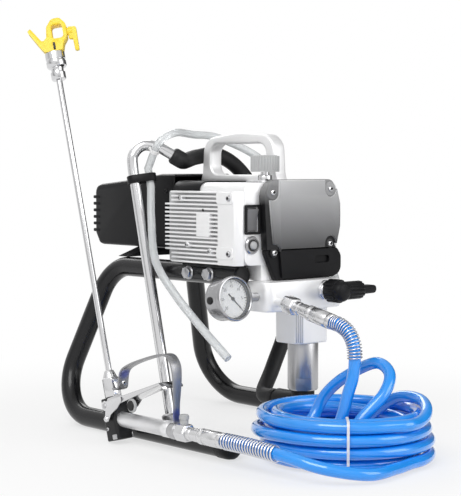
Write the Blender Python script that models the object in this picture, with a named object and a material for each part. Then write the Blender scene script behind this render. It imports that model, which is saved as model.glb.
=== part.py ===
"""Airless paint sprayer on a skid frame, with its hose, gun and suction set.

Metres, +Z up. The front of the machine looks along -Y, and the floor is Z = 0.
Positions are first laid out from the machine's own datum. At the end the root empty moves everything,
so that the origin is the middle of the footprint on the floor.
"""
import math

import bmesh
import bpy
from mathutils import Matrix, Vector

# Clearances
GAP = 0.0003
RUN = 0.0001
CUT = 0.002

# Skid frame
MID_X = -0.040
TUBE_R = 0.0127
TUBE_TOP_Z = 0.205
TOP_HALF = 0.070
FLOOR_HALF = 0.133
TOP_FRONT_Y = -0.008
TOP_REAR_Y = 0.246
FLOOR_REAR_Y = 0.290
SKID_FRONT_Y = -0.042
TOP_BEND_R = 0.045
FLOOR_BEND_R = 0.060
CAP_R = 0.0135
CAP_LEN = 0.026
CAP_NOSE = 0.006
CARRIER_REAR_Y = 0.120
CARRIER_WALL = 0.004
CARRIER_DROP = 0.023
BOLT_R = 0.004
BOLT_HEAD_R = 0.0068
BOLT_HEAD_T = 0.0055
BOLT_FLANGE_R = 0.0085
BOLT_FLANGE_T = 0.0016
BOLT_SEAT = 0.0012
BOLT_Y = (0.038, 0.076)
SUPPORT_Y = (0.205, 0.228)

# Drive housing, control side and covers
HOUSING_LEFT_X = -0.126
HOUSING_RIGHT_X = 0.030
HOUSING_FRONT_Y = -0.030
HOUSING_STEP_Y = 0.098
HOUSING_REAR_Y = 0.140
HOUSING_TOP_Z = 0.316
HOUSING_CORNER = 0.010
HOUSING_WALL = 0.006
FOOT_REAR_Y = 0.012
MANIFOLD_TOP_Z = 0.199
CONTROL_T = 0.012
CONTROL_FRONT_Y = -0.024
CONTROL_REAR_Y = 0.102
CONTROL_HEIGHT = 0.087
FIN_COUNT = 12
FIN_T = 0.0030
FIN_DEPTH = 0.0075
FIN_FRONT_Y = 0.004
FIN_STEP_BACK = 0.012
PAD_Y = (0.018, 0.042)
PAD_FINS = 4
COVER_DEPTH = 0.010
COVER_WALL = 0.0025
COVER_TOP_Z = 0.320
COVER_SPLIT_Z = 0.2365
COVER_LEFT_X = -0.103
COVER_RIGHT_X = 0.024
COVER_FOOT_LEFT_X = -0.083
COVER_BULGE = 0.004
PANEL_RISE = 0.0022
PANEL_INSET = 0.007
PANEL_SCALLOP_R = 0.012
GRIP_WIDTH = 0.030
GRIP_HEIGHT = 0.010

# Carry handle and pressure knob
HANDLE_T = 0.020
HANDLE_REAR_Y = 0.134
HANDLE_FRONT_Y = -0.002
HANDLE_TOP_Z = 0.378
HANDLE_POST = 0.017
HANDLE_BAR = 0.014
HANDLE_BASE = 0.009
HANDLE_CORNER = 0.022
KNOB_X = -0.074
KNOB_Y = -0.010
KNOB_R = 0.0175
KNOB_H = 0.020
KNOB_RIBS = 20
KNOB_RIB_DEPTH = 0.0008
STEM_R = 0.0085
STEM_H = 0.0125

# Switch and reset button
SWITCH_X = -0.1145
SWITCH_Z = 0.2725
SWITCH_W = 0.020
SWITCH_H = 0.034
SWITCH_RIM = 0.0028
SWITCH_RISE = 0.0024
ROCKER_TILT = 7.0
RESET_Z = 0.2425
RESET_BUSH_R = 0.0088
RESET_BUSH_T = 0.0030
RESET_R = 0.0048
RESET_LEN = 0.011
RESET_STROKE = 0.0025

# Motor, gears and crank
MOTOR_Z = 0.272
MOTOR_COVER_HALF = 0.052
MOTOR_COVER_BOTTOM_Z = 0.230
MOTOR_COVER_REAR_Y = 0.311
MOTOR_COVER_REAR_TOP_Z = 0.311
MOTOR_COVER_FRONT_TOP_Z = 0.326
MOTOR_COVER_WALL = 0.003
VENT_COUNT = 6
VENT_PITCH = 0.009
VENT_T = 0.0035
STATOR_R = 0.037
STATOR_LEN = 0.110
AIR_GAP = 0.0005
ROTOR_R = 0.022
SHAFT_R = 0.005
FAN_R = 0.033
FAN_T = 0.014
FAN_BLADES = 9
PUMP_X = -0.0144
PUMP_Y = -0.016
MODULE = 0.0012
PINION_TEETH = 12
GEAR_TEETH = 40
GEAR_T = 0.012
GEAR_FRONT_Y = 0.0
CRANK_SHAFT_R = 0.008
CRANK_SHAFT_LEN = 0.046
CRANK_THROW = 0.010
CRANK_PIN_R = 0.004
YOKE_T = 0.010
YOKE_W = 0.040
YOKE_H = 0.022

# Fluid end
ROD_R = 0.006
ROD_FOOT_Z = 0.085
MANIFOLD_LEFT_X = -0.106
MANIFOLD_RIGHT_X = 0.018
MANIFOLD_FRONT_Y = -0.050
MANIFOLD_REAR_Y = -0.010
MANIFOLD_H = 0.036
BLOCK_W = 0.056
BLOCK_D = 0.043
BLOCK_H = 0.044
BLOCK_CHAMFER = 0.008
CYLINDER_R = 0.019
CYLINDER_H = 0.059
CYLINDER_BORE_R = 0.012
FLAT_H = 0.016
FLAT_HALF = 0.0165
ELBOW_R = 0.0145
ELBOW_H = 0.031
ELBOW_ARM_R = 0.0125
ELBOW_ARM = 0.044
ELBOW_ARM_DROP = 0.016

# Gauge
GAUGE_R = 0.0265
GAUGE_DEPTH = 0.028
GAUGE_TILT = 8.0
GAUGE_WALL = 0.0028
GAUGE_STEM = 0.019
GAUGE_STEM_R = 0.0065
GAUGE_RECESS = 0.0075
DIAL_T = 0.001
NEEDLE_T = 0.0008
NEEDLE_REST = -135.0
NEEDLE_HUB_R = 0.0024
NEEDLE_HUB_T = 0.0016

# Prime valve and hose outlet
PRIME_X = -0.011
PRIME_DROP = 0.014
PRIME_BASE_R = 0.0125
PRIME_BASE_T = 0.009
PRIME_STEM_R = 0.005
PRIME_STEM_LEN = 0.012
PRIME_KNOB_R = 0.0145
PRIME_KNOB_LEN = 0.026
PRIME_LEVER = 0.060
PRIME_LEVER_T = 0.013
OUTLET_X = -0.092
OUTLET_DROP = 0.024
OUTLET_R = 0.0055
OUTLET_LEN = 0.012
OUTLET_SLOPE = 12.0

# Paint hose and its ends
HOSE_R = 0.0068
HEX_R = 0.0095
HEX_LEN = 0.018
FERRULE_R = 0.0078
FERRULE_LEN = 0.020
SLEEVE_R = 0.0092
SLEEVE_LEN = 0.040
SPRING_WIRE_R = 0.0010
SPRING_GAP = 0.0012
SPRING_PITCH = 0.0052
SPRING_POINTS = 8
SPRING_TURNS_UPPER = 11
SPRING_TURNS_LOWER = 16
COIL_X = -0.074
COIL_Y = -0.142
COIL_OUTER_R = 0.100
COIL_PITCH = 0.0166
COIL_RISE = 0.0146
COIL_LAYERS = 4
COIL_LAYER_TURNS = 1.375
COIL_START = -90.0
LOOP_POINTS = 24
LEAD_DROP = ((-0.092, -0.1671, 0.1481), (-0.0925, -0.1754, 0.1321), (-0.0933, -0.1750, 0.1035),
             (-0.1003, -0.1730, 0.0809), (-0.1080, -0.1718, 0.0573), (-0.1145, -0.1660, 0.0400),
             (-0.1218, -0.1462, 0.0280), (-0.1156, -0.1180, 0.0260), (-0.0950, -0.0990, 0.0290))
LEAD_ARCH = ((-0.0760, -0.0960, 0.0440), (-0.0645, -0.1034, 0.0687), (-0.0581, -0.1293, 0.0919),
             (-0.0511, -0.1693, 0.1115), (-0.0577, -0.1970, 0.1027), (-0.0776, -0.2060, 0.0825),
             (-0.1031, -0.1965, 0.0567))
LEAD_RIM = ((225, 0.0610, 0.0300), (205, 0.0595, 0.0145), (185, 0.0590, 0.0102), (150, 0.0590, 0.0102),
            (110, 0.0590, 0.0102), (75, 0.0590, 0.0108), (45, 0.0580, 0.0190), (20, 0.0585, 0.0350),
            (0, 0.0630, 0.0530), (-15, 0.0720, 0.0655), (-30, 0.0810, 0.0690), (-45, 0.0890, 0.0680),
            (-60, 0.0955, 0.0635), (-72, 0.0995, 0.0575), (-84, 0.1020, 0.0540))
TIE_R = 0.0012
TIE_ANGLE = -134.0
FLOOR_CLEAR = 0.0004
COIL_LIFT = 2 * TIE_R + FLOOR_CLEAR + GAP

# Gun on its pole
GUN_X = -0.207
GUN_FOOT_Y = 0.103
GUN_LEAN = 15.7
GUN_HALF_T = 0.012
GUN_HALF_W = 0.012
GUN_BODY_LEN = 0.056
GUN_FOOT = 0.004
GUN_HANDLE_Z = 0.0295
GUN_HANDLE_R = 0.0092
GUN_HANDLE_END_Y = 0.006
SWIVEL_R = 0.0075
SWIVEL_LEN = 0.012
SWIVEL_SIDES = 18
TRIGGER_W = 0.031
TRIGGER_T = 0.003
TRIGGER_TIP_Y = 0.012
TRIGGER_TIP_Z = 0.084
TRIGGER_PIN_R = 0.0024
TRIGGER_PIN_S = 0.047
GUARD_W = 0.015
GUARD_T = 0.0022
GUARD_START_S = 0.080
GUARD_RUN = 0.010
GUARD_LINE = ((0.086, 0.0935), (0.060, 0.1055), (0.018, 0.117), (0.002, 0.110), (-0.003, 0.092), (-0.002, 0.060))
POLE_NUT_R = 0.0098
POLE_NUT_LEN = 0.033
POLE_R = 0.0038
POLE_LEN = 0.372
TIP_NUT_R = 0.0125
TIP_NUT_LEN = 0.036
TIP_GUARD_W = 0.034
TIP_GUARD_H = 0.043
TIP_GUARD_T = 0.017
TIP_GUARD_TURN = -42.0
TIP_WINDOW_W = 0.014
TIP_WINDOW_H = 0.017
TIP_WINDOW_S = 0.024
TIP_BARREL_R = 0.0048
TIP_FLAG = 0.013
TIP_FLAG_H = 0.024
TIP_FLAG_T = 0.006

# Suction set
PIPE_R = 0.0068
PIPE_TOP = Vector((-0.140, 0.1635, 0.334))
PIPE_FOOT = Vector((-0.140, 0.090, 0.030))
GOOSENECK = (Vector((-0.1385, 0.1645, 0.350)), Vector((-0.127, 0.159, 0.362)), Vector((-0.110, 0.148, 0.360)))
PIPE_END = Vector((-0.095, 0.139, 0.350))
STRAINER_R = 0.0115
STRAINER_LEN = 0.028
SUCTION_R = 0.010
DRAIN_R = 0.0050
CLIP_T = 0.010
CLIP_SLACK = 0.0010
CLIP_RUN = 0.012
CLIP_SHARE = 0.95
DRAIN_SIDE = Vector((0.0150, -0.0110, 0.00266))
CLIP_WALL = 0.0028

# Sizes that follow from the ones above
HOUSING_BOTTOM_Z = TUBE_TOP_Z + TUBE_R + 2 * GAP
COVER_BACK_Y = HOUSING_FRONT_Y - GAP
COVER_FRONT_Y = COVER_BACK_Y - COVER_DEPTH
MANIFOLD_Z = MANIFOLD_TOP_Z - MANIFOLD_H / 2
BLOCK_TOP_Z = MANIFOLD_TOP_Z - MANIFOLD_H - GAP
CYLINDER_TOP_Z = BLOCK_TOP_Z - BLOCK_H - GAP
ELBOW_TOP_Z = CYLINDER_TOP_Z - CYLINDER_H - GAP
PITCH_CENTRES = MODULE * (PINION_TEETH + GEAR_TEETH) / 2
CRANK_Z = MOTOR_Z - math.sqrt(PITCH_CENTRES ** 2 - (PUMP_X - MID_X) ** 2)
YOKE_Z = CRANK_Z - CRANK_THROW
PRIME_Z = MANIFOLD_TOP_Z - PRIME_DROP
OUTLET_Z = MANIFOLD_TOP_Z - OUTLET_DROP
GUN_AXIS = Matrix.Translation((GUN_X, GUN_FOOT_Y, 0)) @ Matrix.Rotation(math.radians(-GUN_LEAN), 4, "X")

# Colours: name, base colour, roughness, metallic
FINISHES = {
    "black_gloss": ((0.012, 0.012, 0.013), 0.22, 0.0),
    "black_plastic": ((0.030, 0.030, 0.032), 0.45, 0.0),
    "black_rubber": ((0.020, 0.020, 0.020), 0.70, 0.0),
    "grey_plastic": ((0.130, 0.130, 0.135), 0.50, 0.0),
    "cast_silver": ((0.700, 0.710, 0.720), 0.38, 0.9),
    "bright_steel": ((0.800, 0.800, 0.810), 0.18, 1.0),
    "white_paint": ((0.850, 0.850, 0.860), 0.40, 0.0),
    "clear_plastic": ((0.800, 0.820, 0.830), 0.25, 0.0),
    "blue_hose": ((0.020, 0.180, 0.780), 0.35, 0.0),
    "yellow_plastic": ((0.900, 0.620, 0.030), 0.40, 0.0),
    "copper": ((0.600, 0.280, 0.130), 0.40, 0.9),
}
CORD_NODES = ("hose_coil", "hose_lead", "hose_tie", "spring_guard_upper", "hose_end_upper",
              "spring_guard_lower", "hose_end_lower", "suction_hose", "drain_hose")


def clear_scene():
    """Remove every object that the scene starts with."""
    for old in list(bpy.data.objects):
        bpy.data.objects.remove(old, do_unlink=True)


def material(name):
    """Return the named finish as a Principled material, made once."""
    found = bpy.data.materials.get(name)
    if found:
        return found
    colour, roughness, metallic = FINISHES[name]
    made = bpy.data.materials.new(name)
    made.use_nodes = True
    shader = made.node_tree.nodes["Principled BSDF"]
    shader.inputs["Base Color"].default_value = (*colour, 1.0)
    shader.inputs["Roughness"].default_value = roughness
    shader.inputs["Metallic"].default_value = metallic
    return made


def empty(name, matrix=None, parent=None):
    """Add an empty that carries other pieces."""
    made = bpy.data.objects.new(name, None)
    bpy.context.scene.collection.objects.link(made)
    made.parent = parent
    made.matrix_local = matrix or Matrix.Identity(4)
    return made


def link(name, data, finish, parent, matrix=None):
    """Link mesh or curve data as a named sub-part."""
    made = bpy.data.objects.new(name, data)
    bpy.context.scene.collection.objects.link(made)
    made.parent = parent
    made.matrix_local = matrix or Matrix.Identity(4)
    if finish:
        data.materials.append(material(finish))
    return made


def mesh_from(bm, name, smooth=False):
    """Turn a bmesh into mesh data with its faces pointing outwards."""
    bmesh.ops.recalc_face_normals(bm, faces=bm.faces[:])
    data = bpy.data.meshes.new(name)
    bm.to_mesh(data)
    bm.free()
    if smooth:
        data.shade_smooth()
        data.set_sharp_from_angle(angle=math.radians(35))
    return data


def place(x=0.0, y=0.0, z=0.0, turn=0.0, about="Z"):
    """Return a matrix that turns by degrees about an axis and then moves."""
    return Matrix.Translation((x, y, z)) @ Matrix.Rotation(math.radians(turn), 4, about)


ALONG_X = Matrix.Rotation(math.radians(90), 4, "Y")
ALONG_Y = Matrix.Rotation(math.radians(-90), 4, "X")
TOWARDS_FRONT = Matrix.Rotation(math.radians(90), 4, "X")


def lathe_mesh(name, profile, segments=18):
    """Spin a closed (radius, height) profile about local Z."""
    bm = bmesh.new()
    verts = [bm.verts.new((radius, 0.0, height)) for radius, height in profile]
    edges = [bm.edges.new((a, b)) for a, b in zip(verts, verts[1:])]
    on_axis = profile[0][0] < 1e-9 and profile[-1][0] < 1e-9
    if not on_axis:
        edges.append(bm.edges.new((verts[-1], verts[0])))
    bmesh.ops.spin(bm, geom=verts + edges, cent=(0, 0, 0), axis=(0, 0, 1), angle=math.tau, steps=segments,
                   use_merge=False, use_duplicate=False)
    bmesh.ops.remove_doubles(bm, verts=bm.verts[:], dist=1e-6)
    return mesh_from(bm, name, smooth=True)


def prism_mesh(name, outline, depth, plane="XY", holes=()):
    """Extrude an outline: XY grows along +Z, XZ along +Y and YZ along +X."""
    lift = {"XY": lambda a, b, c: (a, b, c), "XZ": lambda a, b, c: (a, c, b), "YZ": lambda a, b, c: (c, a, b)}[plane]
    bm = bmesh.new()
    loops = []
    for points in (outline, *holes):
        verts = [bm.verts.new(lift(a, b, 0.0)) for a, b in points]
        loops += [bm.edges.new((a, b)) for a, b in zip(verts, verts[1:] + verts[:1])]
    if holes:
        bmesh.ops.triangle_fill(bm, edges=loops, use_beauty=True)
    else:
        bm.faces.new(bm.verts[:])
    grown = bmesh.ops.extrude_face_region(bm, geom=bm.faces[:])
    moved = [item for item in grown["geom"] if isinstance(item, bmesh.types.BMVert)]
    bmesh.ops.translate(bm, verts=moved, vec=lift(0.0, 0.0, depth))
    return mesh_from(bm, name)


def rounded(corners, steps=4):
    """Return an outline whose corners (a, b, radius) are rounded by arcs."""
    outline = []
    count = len(corners)
    for index, (a, b, radius) in enumerate(corners):
        here = Vector((a, b))
        before = Vector(corners[index - 1][:2]) - here
        after = Vector(corners[(index + 1) % count][:2]) - here
        if radius <= 0:
            outline.append((a, b))
            continue
        before.normalize()
        after.normalize()
        half = before.angle(after) / 2
        centre = here + (before + after).normalized() * (radius / math.sin(half))
        start = here + before * (radius / math.tan(half)) - centre
        end = here + after * (radius / math.tan(half)) - centre
        sweep = start.angle_signed(end)
        for step in range(steps + 1):
            outline.append(tuple(centre + Matrix.Rotation(-sweep * step / steps, 2) @ start))
    return outline


def rectangle(a0, a1, b0, b1, radius=0.0, steps=4):
    """Return a rectangle outline with its corners rounded."""
    return rounded([(a0, b0, radius), (a1, b0, radius), (a1, b1, radius), (a0, b1, radius)], steps)


def disc(a, b, radius, count=24, start=0.0):
    """Return a round or many-sided outline about a point."""
    return [(a + radius * math.cos(start + math.tau * k / count), b + radius * math.sin(start + math.tau * k / count))
            for k in range(count)]


def box_mesh(name, low, high):
    """Return a box between two corners."""
    bm = bmesh.new()
    middle = [(a + b) / 2 for a, b in zip(low, high)]
    size = [abs(b - a) for a, b in zip(low, high)]
    bmesh.ops.create_cube(bm, size=1.0, matrix=Matrix.Translation(middle) @ Matrix.Diagonal((*size, 1.0)))
    return mesh_from(bm, name)


def boxes_mesh(name, pairs):
    """Return several separate boxes as one cutter mesh."""
    bm = bmesh.new()
    for low, high in pairs:
        middle = [(a + b) / 2 for a, b in zip(low, high)]
        size = [abs(b - a) for a, b in zip(low, high)]
        bmesh.ops.create_cube(bm, size=1.0, matrix=Matrix.Translation(middle) @ Matrix.Diagonal((*size, 1.0)))
    return mesh_from(bm, name)


def boolean(target, data, operation="DIFFERENCE", matrix=None):
    """Cut a tool mesh out of a sub-part, or join it on."""
    tool = link(f"{data.name}_tool", data, None, target.parent, matrix)
    tool.hide_render = True
    tool.display_type = "WIRE"
    step = target.modifiers.new(data.name, "BOOLEAN")
    step.operation = operation
    step.solver = "EXACT"
    step.object = tool
    return tool


def soften(target, width, segments=2, angle=40.0):
    """Round the sharp edges of a sub-part."""
    step = target.modifiers.new("soft_edges", "BEVEL")
    step.width = width
    step.segments = segments
    step.limit_method = "ANGLE"
    step.angle_limit = math.radians(angle)
    return step


def rod_mesh(name, radius, length, segments=18):
    """Return a plain cylinder from the local origin along +Z."""
    return lathe_mesh(name, [(0.0, length), (radius, length), (radius, 0.0), (0.0, 0.0)], segments)


def hex_outline(radius):
    """Return a hexagon by the radius across its flats."""
    return disc(0.0, 0.0, radius / math.cos(math.pi / 6), 6)


def smooth_route(points, spacing):
    """Read evenly spaced points from a smooth curve through the route's own points."""
    points = [Vector(p) for p in points]
    ends = [points[0] * 2 - points[1], *points, points[-1] * 2 - points[-2]]
    fine = []
    for before, start, end, after in zip(ends, ends[1:], ends[2:], ends[3:]):
        for step in range(24):
            t = step / 24
            fine.append(0.5 * (2 * start + (end - before) * t + (2 * before - 5 * start + 4 * end - after) * t ** 2
                               + (3 * start - before - 3 * end + after) * t ** 3))
    fine.append(points[-1])
    length = sum((b - a).length for a, b in zip(fine, fine[1:]))
    count = max(2, round(length / spacing))
    route = [fine[0]]
    walked = 0.0
    for a, b in zip(fine, fine[1:]):
        walked += (b - a).length
        while len(route) < count and walked >= len(route) * length / count:
            over = walked - len(route) * length / count
            route.append(b + (a - b) * (over / max((b - a).length, 1e-9)))
    route.append(fine[-1])
    return route


def straight_ended(points, spacing):
    """A smooth route whose first and last runs stay straight, so that its ends are square."""
    return [Vector(points[0]), *smooth_route(points[1:-1], spacing), Vector(points[-1])]


def bent_route(corners, steps=6):
    """Return a route of straight runs joined by round bends; corners are (point, bend radius)."""
    route = []
    last = len(corners) - 1
    for index, (point, radius) in enumerate(corners):
        point = Vector(point)
        if index in (0, last):
            route.append(point)
            continue
        before = (Vector(corners[index - 1][0]) - point).normalized()
        after = (Vector(corners[index + 1][0]) - point).normalized()
        half = before.angle(after) / 2
        centre = point + (before + after).normalized() * (radius / math.sin(half))
        start = point + before * (radius / math.tan(half)) - centre
        end = point + after * (radius / math.tan(half)) - centre
        for step in range(steps + 1):
            spoke = start.normalized().slerp(end.normalized(), step / steps)
            route.append(centre + spoke * start.length)
    return route


def tube(name, route, radius, finish, parent, resolution=4):
    """Add a round tube along a route as a curve with filled caps."""
    data = bpy.data.curves.new(name, "CURVE")
    data.dimensions = "3D"
    data.bevel_depth = radius
    data.bevel_resolution = resolution
    data.render_resolution_u = 0
    data.use_fill_caps = True
    data.twist_mode = "MINIMUM"
    spline = data.splines.new("POLY")
    spline.points.add(len(route) - 1)
    for spot, point in zip(spline.points, route):
        spot.co = (*point, 1.0)
    return link(name, data, finish, parent)


def tube_as_mesh(name, route, radius, finish, parent, resolution=4):
    """Add a tube as a mesh, for one that is cut afterwards."""
    guide = tube(f"{name}_guide", route, radius, None, None, resolution)
    bpy.context.view_layer.update()
    shape = bpy.data.meshes.new_from_object(guide.evaluated_get(bpy.context.evaluated_depsgraph_get()))
    bpy.data.objects.remove(guide, do_unlink=True)
    bm = bmesh.new()
    bm.from_mesh(shape)
    bmesh.ops.remove_doubles(bm, verts=bm.verts[:], dist=1e-6)
    return link(name, mesh_from(bm, name, smooth=True), finish, parent)


def aligned(start, end, turn=0.0):
    """Return a matrix whose local Z runs from one point towards another."""
    start = Vector(start)
    direction = Vector(end) - start
    return Matrix.Translation(start) @ direction.to_track_quat("Z", "Y").to_matrix().to_4x4() @ \
        Matrix.Rotation(math.radians(turn), 4, "Z")


def least_self_gap(route, radius, skip):
    """Return the least clear distance of a wound tube to itself."""
    least = 1.0
    for first in range(len(route)):
        for second in range(first + skip, len(route) - 1):
            a, b = route[second], route[second + 1]
            run = b - a
            along = max(0.0, min(1.0, (route[first] - a).dot(run) / run.length_squared))
            least = min(least, (route[first] - a - run * along).length)
    return least - 2 * radius


# Frame

def frame_side(side, sign, root):
    """One bent skid tube with its end cap."""
    top_x = MID_X + sign * TOP_HALF
    floor_x = MID_X + sign * FLOOR_HALF
    floor_z = TUBE_R + FLOOR_CLEAR / 2
    route = bent_route([
        ((top_x, TOP_FRONT_Y, TUBE_TOP_Z), 0),
        ((top_x, TOP_REAR_Y, TUBE_TOP_Z), TOP_BEND_R),
        ((floor_x, FLOOR_REAR_Y, floor_z), FLOOR_BEND_R),
        ((floor_x, SKID_FRONT_Y, floor_z), 0)])
    made = tube_as_mesh(f"skid_tube_{side}", route, TUBE_R, "black_gloss", root)
    seat_x = top_x + sign * (TUBE_R - BOLT_SEAT)
    for index, y in enumerate(BOLT_Y):
        hole = rod_mesh(f"bolt_hole_{side}_{index}", BOLT_R + GAP, 3 * TUBE_R, 16)
        boolean(made, hole, matrix=place(top_x - 1.5 * TUBE_R, y, TUBE_TOP_Z) @ ALONG_X)
        seat = rod_mesh(f"bolt_seat_{side}_{index}", BOLT_FLANGE_R + GAP, TUBE_R, 16)
        start_x = seat_x if sign > 0 else seat_x - TUBE_R
        boolean(made, seat, matrix=place(start_x, y, TUBE_TOP_Z) @ ALONG_X)
        carrier_bolt(f"carrier_bolt_{side}_{index + 1}", sign, seat_x, y, root)
    cap_profile = [(0.0, CAP_LEN), (CAP_R - CAP_NOSE, CAP_LEN), (CAP_R - CAP_NOSE * 0.3, CAP_LEN - CAP_NOSE * 0.3),
                   (CAP_R, CAP_LEN - CAP_NOSE), (CAP_R, 0.0), (0.0, 0.0)]
    seat = place(floor_x, SKID_FRONT_Y - GAP, floor_z) @ TOWARDS_FRONT
    cap = link(f"skid_cap_{side}", lathe_mesh(f"skid_cap_{side}", cap_profile), "black_plastic", root, seat)
    sole = box_mesh(f"skid_sole_{side}", (-CAP_R - CUT, -CAP_R - CUT, -CUT), (CAP_R + CUT, -floor_z, CAP_LEN + CUT))
    boolean(cap, sole, matrix=seat)
    return made


def carrier_bolt(name, sign, seat_x, y, root):
    """A flange bolt through a skid tube into the carrier."""
    grip = 2 * TUBE_R - BOLT_SEAT + CARRIER_WALL
    shank = [(0.0, BOLT_FLANGE_T), (BOLT_FLANGE_R, BOLT_FLANGE_T), (BOLT_FLANGE_R, GAP), (BOLT_R, GAP),
             (BOLT_R, -grip), (0.0, -grip)]
    turn = ALONG_X if sign > 0 else ALONG_X @ Matrix.Rotation(math.pi, 4, "X")
    seat = place(seat_x, y, TUBE_TOP_Z) @ turn
    made = link(name, lathe_mesh(name, shank, 16), "bright_steel", root, seat)
    head = prism_mesh(f"{name}_head", hex_outline(BOLT_HEAD_R), BOLT_HEAD_T + BOLT_FLANGE_T / 2)
    boolean(made, head, "UNION", seat @ Matrix.Translation((0, 0, BOLT_FLANGE_T / 2)))


def carrier(root):
    """The channel between the two top runs that the drive housing stands on."""
    half = TOP_HALF - TUBE_R - GAP
    top = HOUSING_BOTTOM_Z - GAP
    outline = [(MID_X - half, top), (MID_X - half, top - CARRIER_DROP),
               (MID_X - half + CARRIER_WALL, top - CARRIER_DROP), (MID_X - half + CARRIER_WALL, top - CARRIER_WALL),
               (MID_X + half - CARRIER_WALL, top - CARRIER_WALL), (MID_X + half - CARRIER_WALL, top - CARRIER_DROP),
               (MID_X + half, top - CARRIER_DROP), (MID_X + half, top)]
    length = CARRIER_REAR_Y - FOOT_REAR_Y - GAP
    made = link("carrier_channel", prism_mesh("carrier_channel", outline, length, "XZ"), "black_gloss", root,
                place(0, FOOT_REAR_Y + GAP, 0))
    for index, y in enumerate(BOLT_Y):
        hole = rod_mesh(f"carrier_hole_{index}", BOLT_R + GAP, 2 * TOP_HALF, 16)
        boolean(made, hole, matrix=place(MID_X - TOP_HALF, y, TUBE_TOP_Z) @ ALONG_X)


def motor_support(root):
    """The wedge bar across the top runs that carries the motor cover's rear."""
    low = TUBE_TOP_Z + TUBE_R + GAP
    high = MOTOR_COVER_BOTTOM_Z - GAP
    half = TOP_HALF + TUBE_R / 2
    outline = [(MID_X - half, low), (MID_X + half, low), (MID_X + MOTOR_COVER_HALF - HOUSING_CORNER, high),
               (MID_X - MOTOR_COVER_HALF + HOUSING_CORNER, high)]
    link("motor_support", prism_mesh("motor_support", outline, SUPPORT_Y[1] - SUPPORT_Y[0], "XZ"), "black_plastic",
         root, place(0, SUPPORT_Y[0], 0))


# Drive

def drive_housing(root):
    """The cast housing: open gear chest, rod foot, bores and switch pockets."""
    outline = rectangle(HOUSING_LEFT_X, HOUSING_RIGHT_X, HOUSING_BOTTOM_Z, HOUSING_TOP_Z, HOUSING_CORNER)
    depth = HOUSING_REAR_Y - HOUSING_FRONT_Y
    made = link("drive_housing", prism_mesh("drive_housing", outline, HOUSING_STEP_Y - HOUSING_FRONT_Y, "XZ"),
                "cast_silver", root, place(0, HOUSING_FRONT_Y, 0))
    flange = rectangle(MID_X - MOTOR_COVER_HALF, MID_X + MOTOR_COVER_HALF - HOUSING_CORNER, MOTOR_COVER_BOTTOM_Z,
                       HOUSING_TOP_Z, HOUSING_CORNER)
    boolean(made, prism_mesh("motor_flange", flange, HOUSING_REAR_Y - HOUSING_STEP_Y + HOUSING_WALL, "XZ"), "UNION",
            place(0, HOUSING_STEP_Y - HOUSING_WALL, 0))
    half = TOP_HALF - TUBE_R - GAP
    foot = box_mesh("rod_foot", (MID_X - half, HOUSING_FRONT_Y + CUT, MANIFOLD_TOP_Z + GAP),
                    (MID_X + half, FOOT_REAR_Y, HOUSING_BOTTOM_Z + HOUSING_CORNER))
    boolean(made, foot, "UNION")
    chest_rear = GEAR_FRONT_Y + GEAR_T + HOUSING_WALL
    chest = rectangle(MID_X - 0.028, HOUSING_RIGHT_X - HOUSING_WALL, HOUSING_BOTTOM_Z + HOUSING_WALL,
                      HOUSING_TOP_Z - 2 * HOUSING_WALL, HOUSING_CORNER)
    boolean(made, prism_mesh("gear_chest", chest, chest_rear - HOUSING_FRONT_Y + CUT, "XZ"),
            matrix=place(0, HOUSING_FRONT_Y - CUT, 0))
    shaft_bore = rod_mesh("shaft_bore", SHAFT_R + RUN, depth)
    boolean(made, shaft_bore, matrix=place(MID_X, GEAR_FRONT_Y, MOTOR_Z) @ ALONG_Y)
    crank_bore = rod_mesh("crank_bore", CRANK_SHAFT_R + RUN, CRANK_SHAFT_LEN + GEAR_T + GAP, 32)
    boolean(made, crank_bore, matrix=place(PUMP_X, GEAR_FRONT_Y, CRANK_Z) @ ALONG_Y)
    rod_bore = rod_mesh("rod_bore", ROD_R + RUN, HOUSING_BOTTOM_Z - MANIFOLD_TOP_Z + 2 * HOUSING_WALL)
    boolean(made, rod_bore, matrix=place(PUMP_X, PUMP_Y, MANIFOLD_TOP_Z - CUT))
    half_w = SWITCH_W / 2 - SWITCH_RIM + GAP
    half_h = SWITCH_H / 2 - SWITCH_RIM + GAP
    pocket = box_mesh("switch_pocket", (SWITCH_X - half_w, HOUSING_FRONT_Y - CUT, SWITCH_Z - half_h),
                      (SWITCH_X + half_w, HOUSING_FRONT_Y + HOUSING_WALL, SWITCH_Z + half_h))
    boolean(made, pocket)
    reset_hole = rod_mesh("reset_hole", RESET_R + GAP, RESET_LEN + RESET_STROKE + CUT)
    boolean(made, reset_hole, matrix=place(SWITCH_X, HOUSING_FRONT_Y - CUT, RESET_Z) @ ALONG_Y)


def cover_outline(inset=0.0):
    """The front cover's outline: leaning left edge, round top and a lower bulge."""
    left, right, foot = COVER_LEFT_X + inset, COVER_RIGHT_X - inset, COVER_FOOT_LEFT_X + inset
    top, bottom = COVER_TOP_Z - inset, MANIFOLD_TOP_Z + 2 * GAP + inset
    shoulder = top - 0.020
    return rounded([(foot, bottom, 0.004), (right + COVER_BULGE, bottom, 0.014),
                    (right + COVER_BULGE, COVER_SPLIT_Z - 0.004, 0.006), (right, COVER_SPLIT_Z + 0.002, 0.006),
                    (right, top, 0.014), (left + 0.006, top, 0.020), (left, shoulder, 0.010)], 3)


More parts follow.
